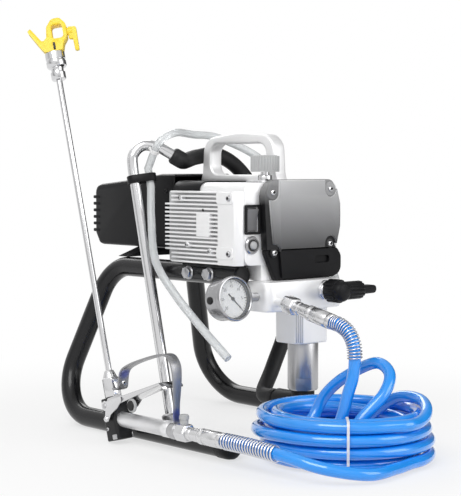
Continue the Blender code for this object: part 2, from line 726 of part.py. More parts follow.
def cover_half(name, low, high, finish, root):
    """One part of the front cover, as a shell open to the housing, between two heights."""
    made = link(name, prism_mesh(name, cover_outline(), COVER_DEPTH, "XZ"), finish, root, place(0, COVER_FRONT_Y, 0))
    trims = []
    wide = 0.2
    if low is not None:
        trims.append(((MID_X - wide, COVER_FRONT_Y - wide, low - wide), (MID_X + wide, wide, low)))
    if high is not None:
        trims.append(((MID_X - wide, COVER_FRONT_Y - wide, high), (MID_X + wide, wide, high + wide)))
    boolean(made, boxes_mesh(f"{name}_trim", trims))
    hollow = prism_mesh(f"{name}_hollow", cover_outline(COVER_WALL), COVER_DEPTH, "XZ")
    hollow_trim = boolean(made, hollow, matrix=place(0, COVER_FRONT_Y + COVER_WALL, 0))
    shelf_low = -wide if low is None else low + COVER_WALL
    shelf_high = wide * 3 if high is None else high - COVER_WALL
    keep = hollow_trim.modifiers.new("between_walls", "BOOLEAN")
    keep.operation = "INTERSECT"
    keep.object = guide_box(f"{name}_shelf", (MID_X - wide, -wide, shelf_low), (MID_X + wide, wide, shelf_high), root)
    return made


def guide_box(name, low, high, root):
    """A box that only trims a cutter."""
    made = link(f"{name}_guide", box_mesh(name, low, high), None, root)
    made.hide_render = True
    made.display_type = "WIRE"
    return made


def front_cover(root):
    """The upper front cover with its raised, scalloped panel, and the access cover below it."""
    upper = cover_half("front_cover", COVER_SPLIT_Z, None, "black_plastic", root)
    left, right = COVER_LEFT_X + PANEL_INSET + 0.004, COVER_RIGHT_X - PANEL_INSET
    low, high = COVER_SPLIT_Z + PANEL_INSET, COVER_TOP_Z - PANEL_INSET
    panel = link("front_panel", prism_mesh("front_panel", rectangle(left, right, low, high, 0.004), PANEL_RISE * 2,
                 "XZ"), None, root, place(0, COVER_FRONT_Y - PANEL_RISE, 0))
    panel.hide_render = True
    panel.display_type = "WIRE"
    for index, (x, z) in enumerate(((left, low), (right, low), (left, high), (right, high))):
        scallop = rod_mesh(f"panel_scallop_{index}", PANEL_SCALLOP_R, PANEL_RISE * 4, 20)
        boolean(panel, scallop, matrix=place(x, COVER_FRONT_Y - PANEL_RISE * 2, z) @ ALONG_Y)
    join = upper.modifiers.new("raised_panel", "BOOLEAN")
    join.operation = "UNION"
    join.object = panel
    lower = cover_half("access_cover", None, COVER_SPLIT_Z - GAP, "black_plastic", root)
    grip_x = COVER_RIGHT_X - GRIP_WIDTH
    grip_z = (COVER_SPLIT_Z + MANIFOLD_TOP_Z) / 2 + 0.004
    grip = rectangle(grip_x - GRIP_WIDTH / 2, grip_x + GRIP_WIDTH / 2, grip_z - GRIP_HEIGHT / 2,
                     grip_z + GRIP_HEIGHT / 2, 0.004)
    boolean(lower, prism_mesh("grip_recess", grip, COVER_WALL * 0.6 + CUT, "XZ"),
            matrix=place(0, COVER_FRONT_Y - CUT, 0))


def carry_handle(root):
    """The loop handle on top of the housing, in the machine's long plane."""
    base = HOUSING_TOP_Z + GAP
    outer = rounded([(HANDLE_REAR_Y - 0.030, base, 0), (HANDLE_FRONT_Y, base, 0),
                     (HANDLE_FRONT_Y + 0.003, HANDLE_TOP_Z - 0.004, HANDLE_CORNER),
                     ((HANDLE_FRONT_Y + HANDLE_REAR_Y) / 2, HANDLE_TOP_Z + 0.001, 0.150),
                     (HANDLE_REAR_Y - 0.003, HANDLE_TOP_Z - 0.007, HANDLE_CORNER),
                     (HANDLE_REAR_Y, base + HANDLE_BASE + 0.004, 0.006)], 5)
    outer = [(y, max(z, base)) for y, z in outer]
    inner = rectangle(HANDLE_FRONT_Y + HANDLE_POST, HANDLE_REAR_Y - HANDLE_POST, base + HANDLE_BASE,
                      HANDLE_TOP_Z - HANDLE_BAR, HANDLE_CORNER - HANDLE_POST / 2)
    made = link("carry_handle", prism_mesh("carry_handle", outer, HANDLE_T, "YZ"), "cast_silver", root,
                place(MID_X - HANDLE_T / 2, 0, 0))
    boolean(made, prism_mesh("handle_window", inner, HANDLE_T + 2 * CUT, "YZ"),
            matrix=place(MID_X - HANDLE_T / 2 - CUT, 0, 0))
    soften(made, 0.004, 2, 50)


def pressure_knob(root):
    """The ribbed pressure knob on its stem."""
    base = HOUSING_TOP_Z + GAP
    link("knob_stem", lathe_mesh("knob_stem", [(0, STEM_H), (STEM_R * 0.62, STEM_H), (STEM_R * 0.62, STEM_H * 0.7),
         (STEM_R, STEM_H * 0.7), (STEM_R, 0), (0, 0)]), "bright_steel", root, place(KNOB_X, KNOB_Y, base))
    outline = []
    for rib in range(KNOB_RIBS):
        for share, radius in ((0.0, KNOB_R), (0.5, KNOB_R), (0.62, KNOB_R - KNOB_RIB_DEPTH),
                              (0.88, KNOB_R - KNOB_RIB_DEPTH)):
            angle = math.tau * (rib + share) / KNOB_RIBS
            outline.append((radius * math.cos(angle), radius * math.sin(angle)))
    link("pressure_knob", prism_mesh("pressure_knob", outline, KNOB_H), "grey_plastic", root,
         place(KNOB_X, KNOB_Y, base + STEM_H + GAP))


def control_cover(root):
    """The finned control cover on the machine's left side."""
    outer_x = HOUSING_LEFT_X - GAP - CONTROL_T
    low = HOUSING_BOTTOM_Z + 0.0005
    high = low + CONTROL_HEIGHT
    outline = rectangle(CONTROL_FRONT_Y, CONTROL_REAR_Y, low, high, 0.003, 2)
    made = link("control_cover", prism_mesh("control_cover", outline, CONTROL_T, "YZ"), "cast_silver", root,
                place(outer_x, 0, 0))
    pitch = (CONTROL_HEIGHT - FIN_T) / (FIN_COUNT - 1)
    slots = []
    first_pad = (FIN_COUNT - PAD_FINS) // 2
    for fin in range(FIN_COUNT - 1):
        bottom = low + FIN_T + fin * pitch
        runs = [(FIN_FRONT_Y, CONTROL_REAR_Y + CUT)]
        if first_pad <= fin < first_pad + PAD_FINS:
            runs = [(FIN_FRONT_Y, PAD_Y[0]), (PAD_Y[1], CONTROL_REAR_Y + CUT)]
        for near, far in runs:
            slots.append(((outer_x - CUT, near, bottom), (outer_x + FIN_DEPTH, far, bottom + pitch - FIN_T)))
    boolean(made, boxes_mesh("fin_slots", slots))
    step = 2 * pitch - CUT / 2
    ends = [((outer_x - CUT, CONTROL_REAR_Y - FIN_STEP_BACK, low - CUT), (outer_x + FIN_DEPTH, 1.0, low + step)),
            ((outer_x - CUT, CONTROL_REAR_Y - FIN_STEP_BACK, high - step), (outer_x + FIN_DEPTH, 1.0, high + CUT))]
    boolean(made, boxes_mesh("fin_ends", ends))


def switch_and_reset(root):
    """The rocker switch in its bezel, and the reset button in its bush."""
    front = HOUSING_FRONT_Y - GAP - SWITCH_RISE
    outer = rectangle(-SWITCH_W / 2, SWITCH_W / 2, -SWITCH_H / 2, SWITCH_H / 2, 0.002, 2)
    inner = rectangle(-SWITCH_W / 2 + SWITCH_RIM, SWITCH_W / 2 - SWITCH_RIM, -SWITCH_H / 2 + SWITCH_RIM,
                      SWITCH_H / 2 - SWITCH_RIM)
    link("switch_bezel", prism_mesh("switch_bezel", outer, SWITCH_RISE, "XZ", [inner]), "black_plastic", root,
         place(SWITCH_X, front, SWITCH_Z))
    half_w = SWITCH_W / 2 - SWITCH_RIM - GAP
    half_h = SWITCH_H / 2 - SWITCH_RIM - 0.0012
    rise = half_h * math.tan(math.radians(ROCKER_TILT))
    profile = [(0.0, -half_h), (0.0035, -half_h * 0.8), (0.0035, half_h * 0.8), (0.0, half_h),
               (-rise - 0.0004, half_h), (-0.0004, 0.0), (-rise - 0.0004, -half_h)]
    link("switch_rocker", prism_mesh("switch_rocker", profile, 2 * half_w, "YZ"), "black_plastic", root,
         place(SWITCH_X, HOUSING_FRONT_Y, SWITCH_Z, ROCKER_TILT, "X") @ Matrix.Translation((-half_w, 0, 0)))
    bush = [(RESET_R + GAP, RESET_BUSH_T), (RESET_BUSH_R * 0.85, RESET_BUSH_T), (RESET_BUSH_R, RESET_BUSH_T * 0.5),
            (RESET_BUSH_R, 0), (RESET_R + GAP, 0)]
    link("reset_bush", lathe_mesh("reset_bush", bush), "bright_steel", root,
         place(SWITCH_X, HOUSING_FRONT_Y - GAP, RESET_Z) @ TOWARDS_FRONT)
    button = [(0, RESET_LEN), (RESET_R * 0.8, RESET_LEN), (RESET_R, RESET_LEN - 0.001), (RESET_R, 0), (0, 0)]
    proud = RESET_BUSH_T + 0.003
    link("reset_button", lathe_mesh("reset_button", button), "black_plastic", root,
         place(SWITCH_X, HOUSING_FRONT_Y + RESET_LEN - proud, RESET_Z) @ TOWARDS_FRONT)


def motor_cover(root):
    """The motor cover: a shell open to the housing, rising to the front, with vents at its rear."""
    front = HOUSING_REAR_Y + GAP

    def side(inset):
        return rounded([(front - inset, MOTOR_COVER_BOTTOM_Z + inset, 0),
                        (MOTOR_COVER_REAR_Y - 0.010 - inset, MOTOR_COVER_BOTTOM_Z + inset, 0.008),
                        (MOTOR_COVER_REAR_Y - inset, MOTOR_COVER_BOTTOM_Z + 0.016, 0.006),
                        (MOTOR_COVER_REAR_Y - inset, MOTOR_COVER_REAR_TOP_Z - inset, 0.012),
                        (front + 0.075, MOTOR_COVER_FRONT_TOP_Z - 0.006 - inset, 0.060),
                        (front + 0.030, MOTOR_COVER_FRONT_TOP_Z - inset, 0.020),
                        (front - inset, MOTOR_COVER_FRONT_TOP_Z - inset, 0)])

    made = link("motor_cover", prism_mesh("motor_cover", side(0.0), 2 * MOTOR_COVER_HALF, "YZ"), "black_plastic",
                root, place(MID_X - MOTOR_COVER_HALF, 0, 0))
    soften(made, 0.008, 2, 70)
    hollow_half = MOTOR_COVER_HALF - MOTOR_COVER_WALL
    boolean(made, prism_mesh("motor_hollow", side(MOTOR_COVER_WALL), 2 * hollow_half, "YZ"),
            matrix=place(MID_X - hollow_half, 0, 0))
    vents = []
    for vent in range(VENT_COUNT):
        z = MOTOR_Z - (VENT_COUNT - 1) * VENT_PITCH / 2 + vent * VENT_PITCH
        vents.append(((MID_X - MOTOR_COVER_HALF * 0.6, MOTOR_COVER_REAR_Y - 0.010, z - VENT_T / 2),
                      (MID_X + MOTOR_COVER_HALF * 0.6, MOTOR_COVER_REAR_Y + CUT, z + VENT_T / 2)))
    boolean(made, boxes_mesh("motor_vents", vents))


def gear_outline(teeth, phase):
    """A spur gear outline with slim teeth, so that a pair runs with backlash."""
    pitch_r = MODULE * teeth / 2
    outline = []
    for tooth in range(teeth):
        for share, radius in ((-0.27, pitch_r - 1.05 * MODULE), (-0.10, pitch_r + 0.70 * MODULE),
                              (0.10, pitch_r + 0.70 * MODULE), (0.27, pitch_r - 1.05 * MODULE)):
            angle = phase + math.tau * (tooth + share) / teeth
            outline.append((radius * math.cos(angle), radius * math.sin(angle)))
    return outline


def motor_and_gears(root):
    """The stator, the rotor with its fan and pinion, and the drive gear with its crank pin."""
    front = HOUSING_REAR_Y + GAP
    stator = [(STATOR_R, STATOR_LEN), (STATOR_R, 0), (ROTOR_R + AIR_GAP, 0), (ROTOR_R + AIR_GAP, STATOR_LEN)]
    link("motor_stator", lathe_mesh("motor_stator", stator), "copper", root,
         place(MID_X, front, MOTOR_Z) @ ALONG_Y)
    shaft_front = GEAR_FRONT_Y - front
    shaft_rear = STATOR_LEN + FAN_T + 0.014
    rotor = [(0, shaft_rear), (SHAFT_R, shaft_rear), (SHAFT_R, STATOR_LEN - 0.008), (ROTOR_R, STATOR_LEN - 0.008),
             (ROTOR_R, 0.010), (SHAFT_R, 0.010), (SHAFT_R, shaft_front), (0, shaft_front)]
    link("motor_rotor", lathe_mesh("motor_rotor", rotor), "bright_steel", root,
         place(MID_X, front, MOTOR_Z) @ ALONG_Y)
    blades = []
    for blade in range(FAN_BLADES):
        for share, radius in ((0.0, FAN_R), (0.30, FAN_R), (0.42, FAN_R * 0.38), (0.88, FAN_R * 0.38)):
            angle = math.tau * (blade + share) / FAN_BLADES
            blades.append((radius * math.cos(angle), radius * math.sin(angle)))
    fan = link("cooling_fan", prism_mesh("cooling_fan", blades, FAN_T, "XZ"), "black_plastic", root,
               place(MID_X, front + STATOR_LEN + 0.008, MOTOR_Z))
    boolean(fan, rod_mesh("fan_bore", SHAFT_R + GAP, FAN_T + 2 * CUT),
            matrix=place(MID_X, front + STATOR_LEN + 0.008 - CUT, MOTOR_Z) @ ALONG_Y)
    towards = math.atan2(MOTOR_Z - CRANK_Z, MID_X - PUMP_X)
    pinion = link("motor_pinion", prism_mesh("motor_pinion",
                  gear_outline(PINION_TEETH, towards + math.pi + math.pi / PINION_TEETH), GEAR_T, "XZ"),
                  "bright_steel", root, place(MID_X, GEAR_FRONT_Y, MOTOR_Z))
    boolean(pinion, rod_mesh("pinion_bore", SHAFT_R + GAP, GEAR_T + 2 * CUT),
            matrix=place(MID_X, GEAR_FRONT_Y - CUT, MOTOR_Z) @ ALONG_Y)
    gear = link("drive_gear", prism_mesh("drive_gear", gear_outline(GEAR_TEETH, towards), GEAR_T, "XZ"),
                "bright_steel", root, place(PUMP_X, GEAR_FRONT_Y, CRANK_Z))
    shaft = rod_mesh("crank_shaft", CRANK_SHAFT_R, CRANK_SHAFT_LEN + CUT, 32)
    boolean(gear, shaft, "UNION", place(PUMP_X, GEAR_FRONT_Y + GEAR_T - CUT, CRANK_Z) @ ALONG_Y)
    pin_len = GEAR_FRONT_Y - (PUMP_Y + max(YOKE_T / 2, ROD_R)) - GAP
    pin = rod_mesh("crank_pin", CRANK_PIN_R, pin_len + CUT, 16)
    boolean(gear, pin, "UNION", place(PUMP_X, GEAR_FRONT_Y + CUT, CRANK_Z - CRANK_THROW) @ TOWARDS_FRONT)


def yoke_and_rod(root):
    """The yoke that the crank pin drives, on top of the piston rod."""
    outer = rectangle(-YOKE_W / 2, YOKE_W / 2, -YOKE_H / 2, YOKE_H / 2, 0.006)
    slot_half = CRANK_THROW + CRANK_PIN_R + 2 * GAP
    slot = rectangle(-slot_half, slot_half, -CRANK_PIN_R - 2 * GAP, CRANK_PIN_R + 2 * GAP, CRANK_PIN_R)
    link("crank_yoke", prism_mesh("crank_yoke", outer, YOKE_T, "XZ", [slot]), "bright_steel", root,
         place(PUMP_X, PUMP_Y - YOKE_T / 2, YOKE_Z))
    link("piston_rod", rod_mesh("piston_rod", ROD_R, YOKE_Z - YOKE_H / 2 - GAP - ROD_FOOT_Z), "bright_steel", root,
         place(PUMP_X, PUMP_Y, ROD_FOOT_Z))


# Fluid end

def fluid_end(root):
    """The manifold, pump block, pump cylinder and inlet elbow."""
    low = MANIFOLD_TOP_Z - MANIFOLD_H
    plan = rounded([(MANIFOLD_LEFT_X, MANIFOLD_FRONT_Y, 0.012), (MANIFOLD_RIGHT_X, MANIFOLD_FRONT_Y, 0.005),
                    (MANIFOLD_RIGHT_X, MANIFOLD_REAR_Y, 0.005), (MANIFOLD_LEFT_X, MANIFOLD_REAR_Y, 0.005)])
    manifold = link("pump_manifold", prism_mesh("pump_manifold", plan, MANIFOLD_H), "cast_silver", root,
                    place(0, 0, low))
    soften(manifold, 0.003, 2, 60)
    bore = ROD_R + RUN
    boolean(manifold, rod_mesh("manifold_bore", bore, MANIFOLD_H + 2 * CUT), matrix=place(PUMP_X, PUMP_Y, low - CUT))
    boolean(manifold, rod_mesh("outlet_nipple", OUTLET_R, OUTLET_LEN + CUT), "UNION",
            place(OUTLET_X, MANIFOLD_FRONT_Y + CUT, OUTLET_Z) @ TOWARDS_FRONT)
    chamfer = BLOCK_CHAMFER
    block_plan = rounded([(-BLOCK_W / 2, -BLOCK_D / 2 + chamfer, 0), (-BLOCK_W / 2 + chamfer, -BLOCK_D / 2, 0),
                          (BLOCK_W / 2 - chamfer, -BLOCK_D / 2, 0), (BLOCK_W / 2, -BLOCK_D / 2 + chamfer, 0),
                          (BLOCK_W / 2, BLOCK_D / 2, 0.004), (-BLOCK_W / 2, BLOCK_D / 2, 0.004)])
    block = link("pump_block", prism_mesh("pump_block", block_plan, BLOCK_H), "cast_silver", root,
                 place(PUMP_X, PUMP_Y, BLOCK_TOP_Z - BLOCK_H))
    soften(block, 0.0015, 1, 80)
    boolean(block, rod_mesh("block_bore", bore, BLOCK_H + 2 * CUT),
            matrix=place(PUMP_X, PUMP_Y, BLOCK_TOP_Z - BLOCK_H - CUT))
    foot = CYLINDER_TOP_Z - CYLINDER_H
    profile = [(CYLINDER_BORE_R, CYLINDER_H), (CYLINDER_R, CYLINDER_H), (CYLINDER_R, 0.0015),
               (CYLINDER_R - 0.0015, 0), (0, 0), (0, ROD_FOOT_Z - foot - CRANK_PIN_R),
               (CYLINDER_BORE_R, ROD_FOOT_Z - foot - CRANK_PIN_R)]
    cylinder = link("pump_cylinder", lathe_mesh("pump_cylinder", profile, 32), "bright_steel", root,
                    place(PUMP_X, PUMP_Y, foot))
    wide = 2 * CYLINDER_R
    flats = [((sign * FLAT_HALF, -wide, -CUT), (sign * wide, wide, FLAT_H)) for sign in (-1, 1)]
    boolean(cylinder, boxes_mesh("wrench_flats", flats), matrix=place(PUMP_X, PUMP_Y, foot, 45))
    elbow = link("inlet_elbow", lathe_mesh("inlet_elbow", [(0, ELBOW_H), (ELBOW_R, ELBOW_H), (ELBOW_R, 0.004),
                 (ELBOW_R - 0.004, 0), (0, 0)]), "black_plastic", root,
                 place(PUMP_X, PUMP_Y, ELBOW_TOP_Z - ELBOW_H))
    boolean(elbow, rod_mesh("elbow_arm", ELBOW_ARM_R, ELBOW_ARM), "UNION",
            place(PUMP_X, PUMP_Y, ELBOW_TOP_Z - ELBOW_ARM_DROP) @ ALONG_Y)


def gauge(root):
    """The pressure gauge on the manifold's left end, tilted back a little."""
    middle_y = (MANIFOLD_FRONT_Y + MANIFOLD_REAR_Y) / 2
    centre_x = MANIFOLD_LEFT_X - GAP - GAUGE_STEM - GAUGE_R
    seat = place(centre_x, middle_y, MANIFOLD_Z, 90 + -GAUGE_TILT, "X")
    front = GAUGE_DEPTH / 2
    bowl = GAUGE_R - GAUGE_WALL
    floor = front - GAUGE_RECESS
    case = [(0, floor), (bowl, floor), (bowl, front), (GAUGE_R - 0.001, front), (GAUGE_R, front - 0.001),
            (GAUGE_R, front - 0.006), (GAUGE_R - 0.0015, front - 0.007), (GAUGE_R - 0.0015, -front + 0.002),
            (GAUGE_R - 0.0035, -front), (0, -front)]
    made = link("gauge_case", lathe_mesh("gauge_case", case, 30), "bright_steel", root, seat)
    stem_len = GAUGE_STEM + GAUGE_R * 0.2
    stem = rod_mesh("gauge_stem", GAUGE_STEM_R, stem_len, 6)
    boolean(made, stem, "UNION", place(centre_x + GAUGE_R * 0.8, middle_y, MANIFOLD_Z) @ ALONG_X)
    link("gauge_dial", lathe_mesh("gauge_dial", [(0, DIAL_T), (bowl - GAP, DIAL_T), (bowl - GAP, 0), (0, 0)], 30),
         "white_paint", root, seat @ Matrix.Translation((0, 0, floor + GAP)))
    needle = rounded([(-0.0006, 0.016, 0), (-0.0012, -0.006, 0), (0.0012, -0.006, 0), (0.0006, 0.016, 0)])
    pivot = seat @ place(0, 0, floor + DIAL_T + 2 * GAP, NEEDLE_REST)
    pointer = link("gauge_needle", prism_mesh("gauge_needle", needle, NEEDLE_T), "black_plastic", root, pivot)
    boolean(pointer, rod_mesh("needle_hub", NEEDLE_HUB_R, NEEDLE_HUB_T, 16), "UNION", pivot)


def prime_valve(root):
    """The prime and spray valve: a seat on the manifold's front and a lever handle that turns on it."""
    front = MANIFOLD_FRONT_Y - GAP
    stem_r, stem_len = PRIME_STEM_R, PRIME_BASE_T + PRIME_STEM_LEN
    seat = [(0, stem_len), (stem_r, stem_len), (stem_r, PRIME_BASE_T), (PRIME_BASE_R, PRIME_BASE_T),
            (PRIME_BASE_R, 0), (0, 0)]
    link("prime_valve", lathe_mesh("prime_valve", seat), "bright_steel", root,
         place(PRIME_X, front, PRIME_Z) @ TOWARDS_FRONT)
    knob_y = front - PRIME_BASE_T - GAP
    half = PRIME_LEVER_T / 2
    lever = rounded([(-0.006, -half, 0), (PRIME_LEVER * 0.55, -half * 1.2, 0), (PRIME_LEVER, -half * 0.8, half * 0.6),
                     (PRIME_LEVER, half * 0.8, half * 0.6), (PRIME_LEVER * 0.55, half * 1.2, 0), (-0.006, half, 0)])
    body = [(0, PRIME_KNOB_LEN), (PRIME_KNOB_R * 0.7, PRIME_KNOB_LEN), (PRIME_KNOB_R, PRIME_KNOB_LEN * 0.8),
            (PRIME_KNOB_R, 0), (0, 0)]
    handle = link("prime_handle", lathe_mesh("prime_handle", body), "black_plastic", root,
                  place(PRIME_X, knob_y, PRIME_Z) @ TOWARDS_FRONT)
    boolean(handle, prism_mesh("prime_lever", lever, PRIME_KNOB_LEN * 0.6, "XZ"), "UNION",
            place(PRIME_X, knob_y - PRIME_KNOB_LEN * 0.85, PRIME_Z))
    boolean(handle, rod_mesh("prime_socket", stem_r + RUN, PRIME_STEM_LEN + CUT + GAP),
            matrix=place(PRIME_X, knob_y + CUT, PRIME_Z) @ TOWARDS_FRONT)


# Paint hose

def hose_end(name, start, direction, root):
    """Hex nut, ferrule and crimped sleeve in line; returns where the sleeve ends."""
    seat = aligned(start, Vector(start) + direction)
    lengths = (HEX_LEN, HEX_LEN + FERRULE_LEN, HEX_LEN + FERRULE_LEN + SLEEVE_LEN)
    profile = [(0, lengths[2]), (SLEEVE_R - 0.0008, lengths[2]), (SLEEVE_R, lengths[2] - 0.001),
               (SLEEVE_R, lengths[1] + 0.003), (FERRULE_R, lengths[1]), (FERRULE_R, lengths[0] - CUT),
               (0, lengths[0] - CUT)]
    made = link(name, lathe_mesh(name, profile), "bright_steel", root, seat)
    boolean(made, prism_mesh(f"{name}_hex", hex_outline(HEX_R), HEX_LEN), "UNION", seat)
    return Vector(start) + direction.normalized() * lengths[2]


def spring_guard(name, route, turns, root):
    """A wire spring wound round a stretch of hose."""
    radius = HOSE_R + SPRING_GAP + SPRING_WIRE_R
    fine = straight_ended(route, 0.002)
    count = turns * SPRING_POINTS
    lengths = [0.0]
    for a, b in zip(fine, fine[1:]):
        lengths.append(lengths[-1] + (b - a).length)
    length = turns * SPRING_PITCH
    wire = []
    side = Vector((1, 0, 0))
    for step in range(count + 1):
        wanted = SPRING_WIRE_R + GAP + length * step / count
        index = max(k for k in range(len(fine) - 1) if lengths[k] <= wanted + 1e-9)
        ahead = (fine[index + 1] - fine[index]).normalized()
        centre = fine[index] + ahead * (wanted - lengths[index])
        side = (side - ahead * side.dot(ahead)).normalized()
        up = ahead.cross(side)
        angle = math.tau * step / SPRING_POINTS
        wire.append(centre + (side * math.cos(angle) + up * math.sin(angle)) * radius)
    print(name, "least gap mm", round(least_self_gap(wire, SPRING_WIRE_R, 4) * 1000, 2))
    tube(name, wire, SPRING_WIRE_R, "bright_steel", root, 1)


def coil_route():
    """Four layers of hose that spiral in and out, climbing where the spiral reverses."""
    route = []
    angle = math.radians(COIL_START)
    height = COIL_LIFT + HOSE_R
    radius = COIL_OUTER_R
    for layer in range(COIL_LAYERS):
        way = -1 if layer % 2 == 0 else 1
        steps = round(COIL_LAYER_TURNS * LOOP_POINTS)
        for step in range(steps):
            route.append(Vector((COIL_X + radius * math.cos(angle), COIL_Y + radius * math.sin(angle), height)))
            angle += math.tau / LOOP_POINTS
            radius += way * COIL_PITCH / LOOP_POINTS
        if layer < COIL_LAYERS - 1:
            climb = LOOP_POINTS // 2
            for step in range(climb):
                route.append(Vector((COIL_X + radius * math.cos(angle), COIL_Y + radius * math.sin(angle),
                                     height + COIL_RISE * step / climb)))
                angle += math.tau / LOOP_POINTS
            height += COIL_RISE
    return route


def hose_tie(coil, root):
    """The white band round the coil's turns, at one place on its front."""
    reach = HOSE_R + TIE_R + GAP
    near = COIL_OUTER_R - COIL_LAYER_TURNS * COIL_PITCH - reach
    far = COIL_OUTER_R + reach
    low = TIE_R + FLOOR_CLEAR / 2
    high = max(point.z for point in coil) + reach
    outline = rectangle(near, far, low, high, HOSE_R, 3)
    turn = place(COIL_X, COIL_Y, 0, TIE_ANGLE)
    data = tube("hose_tie", [turn @ Vector((a, 0, b)) for a, b in outline], TIE_R, "white_paint", root, 1).data
    data.use_fill_caps = False
    data.splines[0].use_cyclic_u = True


def paint_hose(root):
    """The outlet, both hose ends with their springs, the coil with its tie, the lead and the tail."""
    front = MANIFOLD_FRONT_Y - GAP
    slope = Vector((0, -math.cos(math.radians(OUTLET_SLOPE)), -math.sin(math.radians(OUTLET_SLOPE))))
    tilt = OUTLET_R * math.tan(math.radians(OUTLET_SLOPE))
    start = Vector((OUTLET_X, front - OUTLET_LEN - tilt - GAP, OUTLET_Z))
    sleeve_end = hose_end("hose_end_upper", start, slope, root) + slope * GAP
    coil = coil_route()
    leaving = (coil[-1] - coil[-2]).normalized()
    coil.append(coil[-1] + leaving * 2 * HOSE_R)
    lead = [sleeve_end, sleeve_end + slope * 0.005, sleeve_end + slope * 0.012]
    lead += [Vector(spot) for spot in (*LEAD_DROP, *LEAD_ARCH)]
    for degrees, radius, height in LEAD_RIM:
        angle = math.radians(degrees)
        lead.append(Vector((COIL_X + radius * math.cos(angle), COIL_Y + radius * math.sin(angle), height)))
    lead += [coil[-1] + leaving * HOSE_R, coil[-1] + leaving * GAP]
    tube("hose_lead", straight_ended(lead, 0.015), HOSE_R, "blue_hose", root, 2)
    spring_guard("spring_guard_upper", lead, SPRING_TURNS_UPPER, root)
    towards = Vector((0, -1, 0))
    gun_end = Vector((GUN_X, GUN_HANDLE_END_Y - SWIVEL_LEN - 3 * GAP, GUN_HANDLE_Z))
    lower_end = hose_end("hose_end_lower", gun_end, towards, root) + towards * GAP
    arriving = (coil[1] - coil[0]).normalized()
    tail = [lower_end, lower_end + towards * 0.040, Vector((-0.206, -0.180, 0.027)), Vector((-0.190, -0.224, 0.018)),
            Vector((-0.150, -0.252, 0.0105)), coil[0] - arriving * 0.026 - Vector((0, 0.002, 0)), coil[0]]
    wound = straight_ended(tail, 0.020)[:-1] + coil
    print("hose_coil least gap mm", round(least_self_gap(wound, HOSE_R, 6) * 1000, 2))
    tube("hose_coil", wound, HOSE_R, "blue_hose", root, 1)
    spring_guard("spring_guard_lower", tail, SPRING_TURNS_LOWER, root)
    hose_tie(coil, root)
    link("gun_swivel", lathe_mesh("gun_swivel", [(0, SWIVEL_LEN), (SWIVEL_R, SWIVEL_LEN), (SWIVEL_R, 0), (0, 0)],
                                      SWIVEL_SIDES),
         "bright_steel", root, place(GUN_X, GUN_HANDLE_END_Y - GAP, GUN_HANDLE_Z) @ TOWARDS_FRONT)


# Gun

def gun(root):
    """The spray gun standing on its foot, with its trigger, guard, pole, tip guard and reversible tip."""
    stand = empty("gun_axis", GUN_AXIS, root)
    plan = rectangle(-GUN_HALF_T, GUN_HALF_T, -GUN_HALF_W, GUN_HALF_W, 0.003, 2)
    body = link("gun_body", prism_mesh("gun_body", plan, GUN_BODY_LEN - GUN_FOOT), "black_plastic", stand,
                place(0, 0, GUN_FOOT))
    boolean(body, rod_mesh("trigger_pin", TRIGGER_PIN_R, TRIGGER_W, 12), "UNION",
            place(-TRIGGER_W / 2, 0, TRIGGER_PIN_S) @ ALONG_X)
    barrel_s = GUN_BODY_LEN + GAP
    nut = link("pole_nut", prism_mesh("pole_nut", hex_outline(POLE_NUT_R), POLE_NUT_LEN), "bright_steel", stand,
               place(0, 0, barrel_s))
    soften(nut, 0.001, 1, 80)
    pole_s = barrel_s + POLE_NUT_LEN + GAP
    link("spray_pole", rod_mesh("spray_pole", POLE_R, POLE_LEN, 16), "bright_steel", stand, place(0, 0, pole_s))
    tip_s = pole_s + POLE_LEN + GAP
    tip_nut = [(0, TIP_NUT_LEN), (TIP_NUT_R, TIP_NUT_LEN), (TIP_NUT_R, TIP_NUT_LEN * 0.66),
               (TIP_NUT_R * 0.55, TIP_NUT_LEN * 0.40), (TIP_NUT_R * 0.55, 0), (0, 0)]
    link("tip_nut", lathe_mesh("tip_nut", tip_nut), "bright_steel", stand, place(0, 0, tip_s))
    tip_guard(stand, tip_s + TIP_NUT_LEN + GAP)
    gun_grip(root, stand)


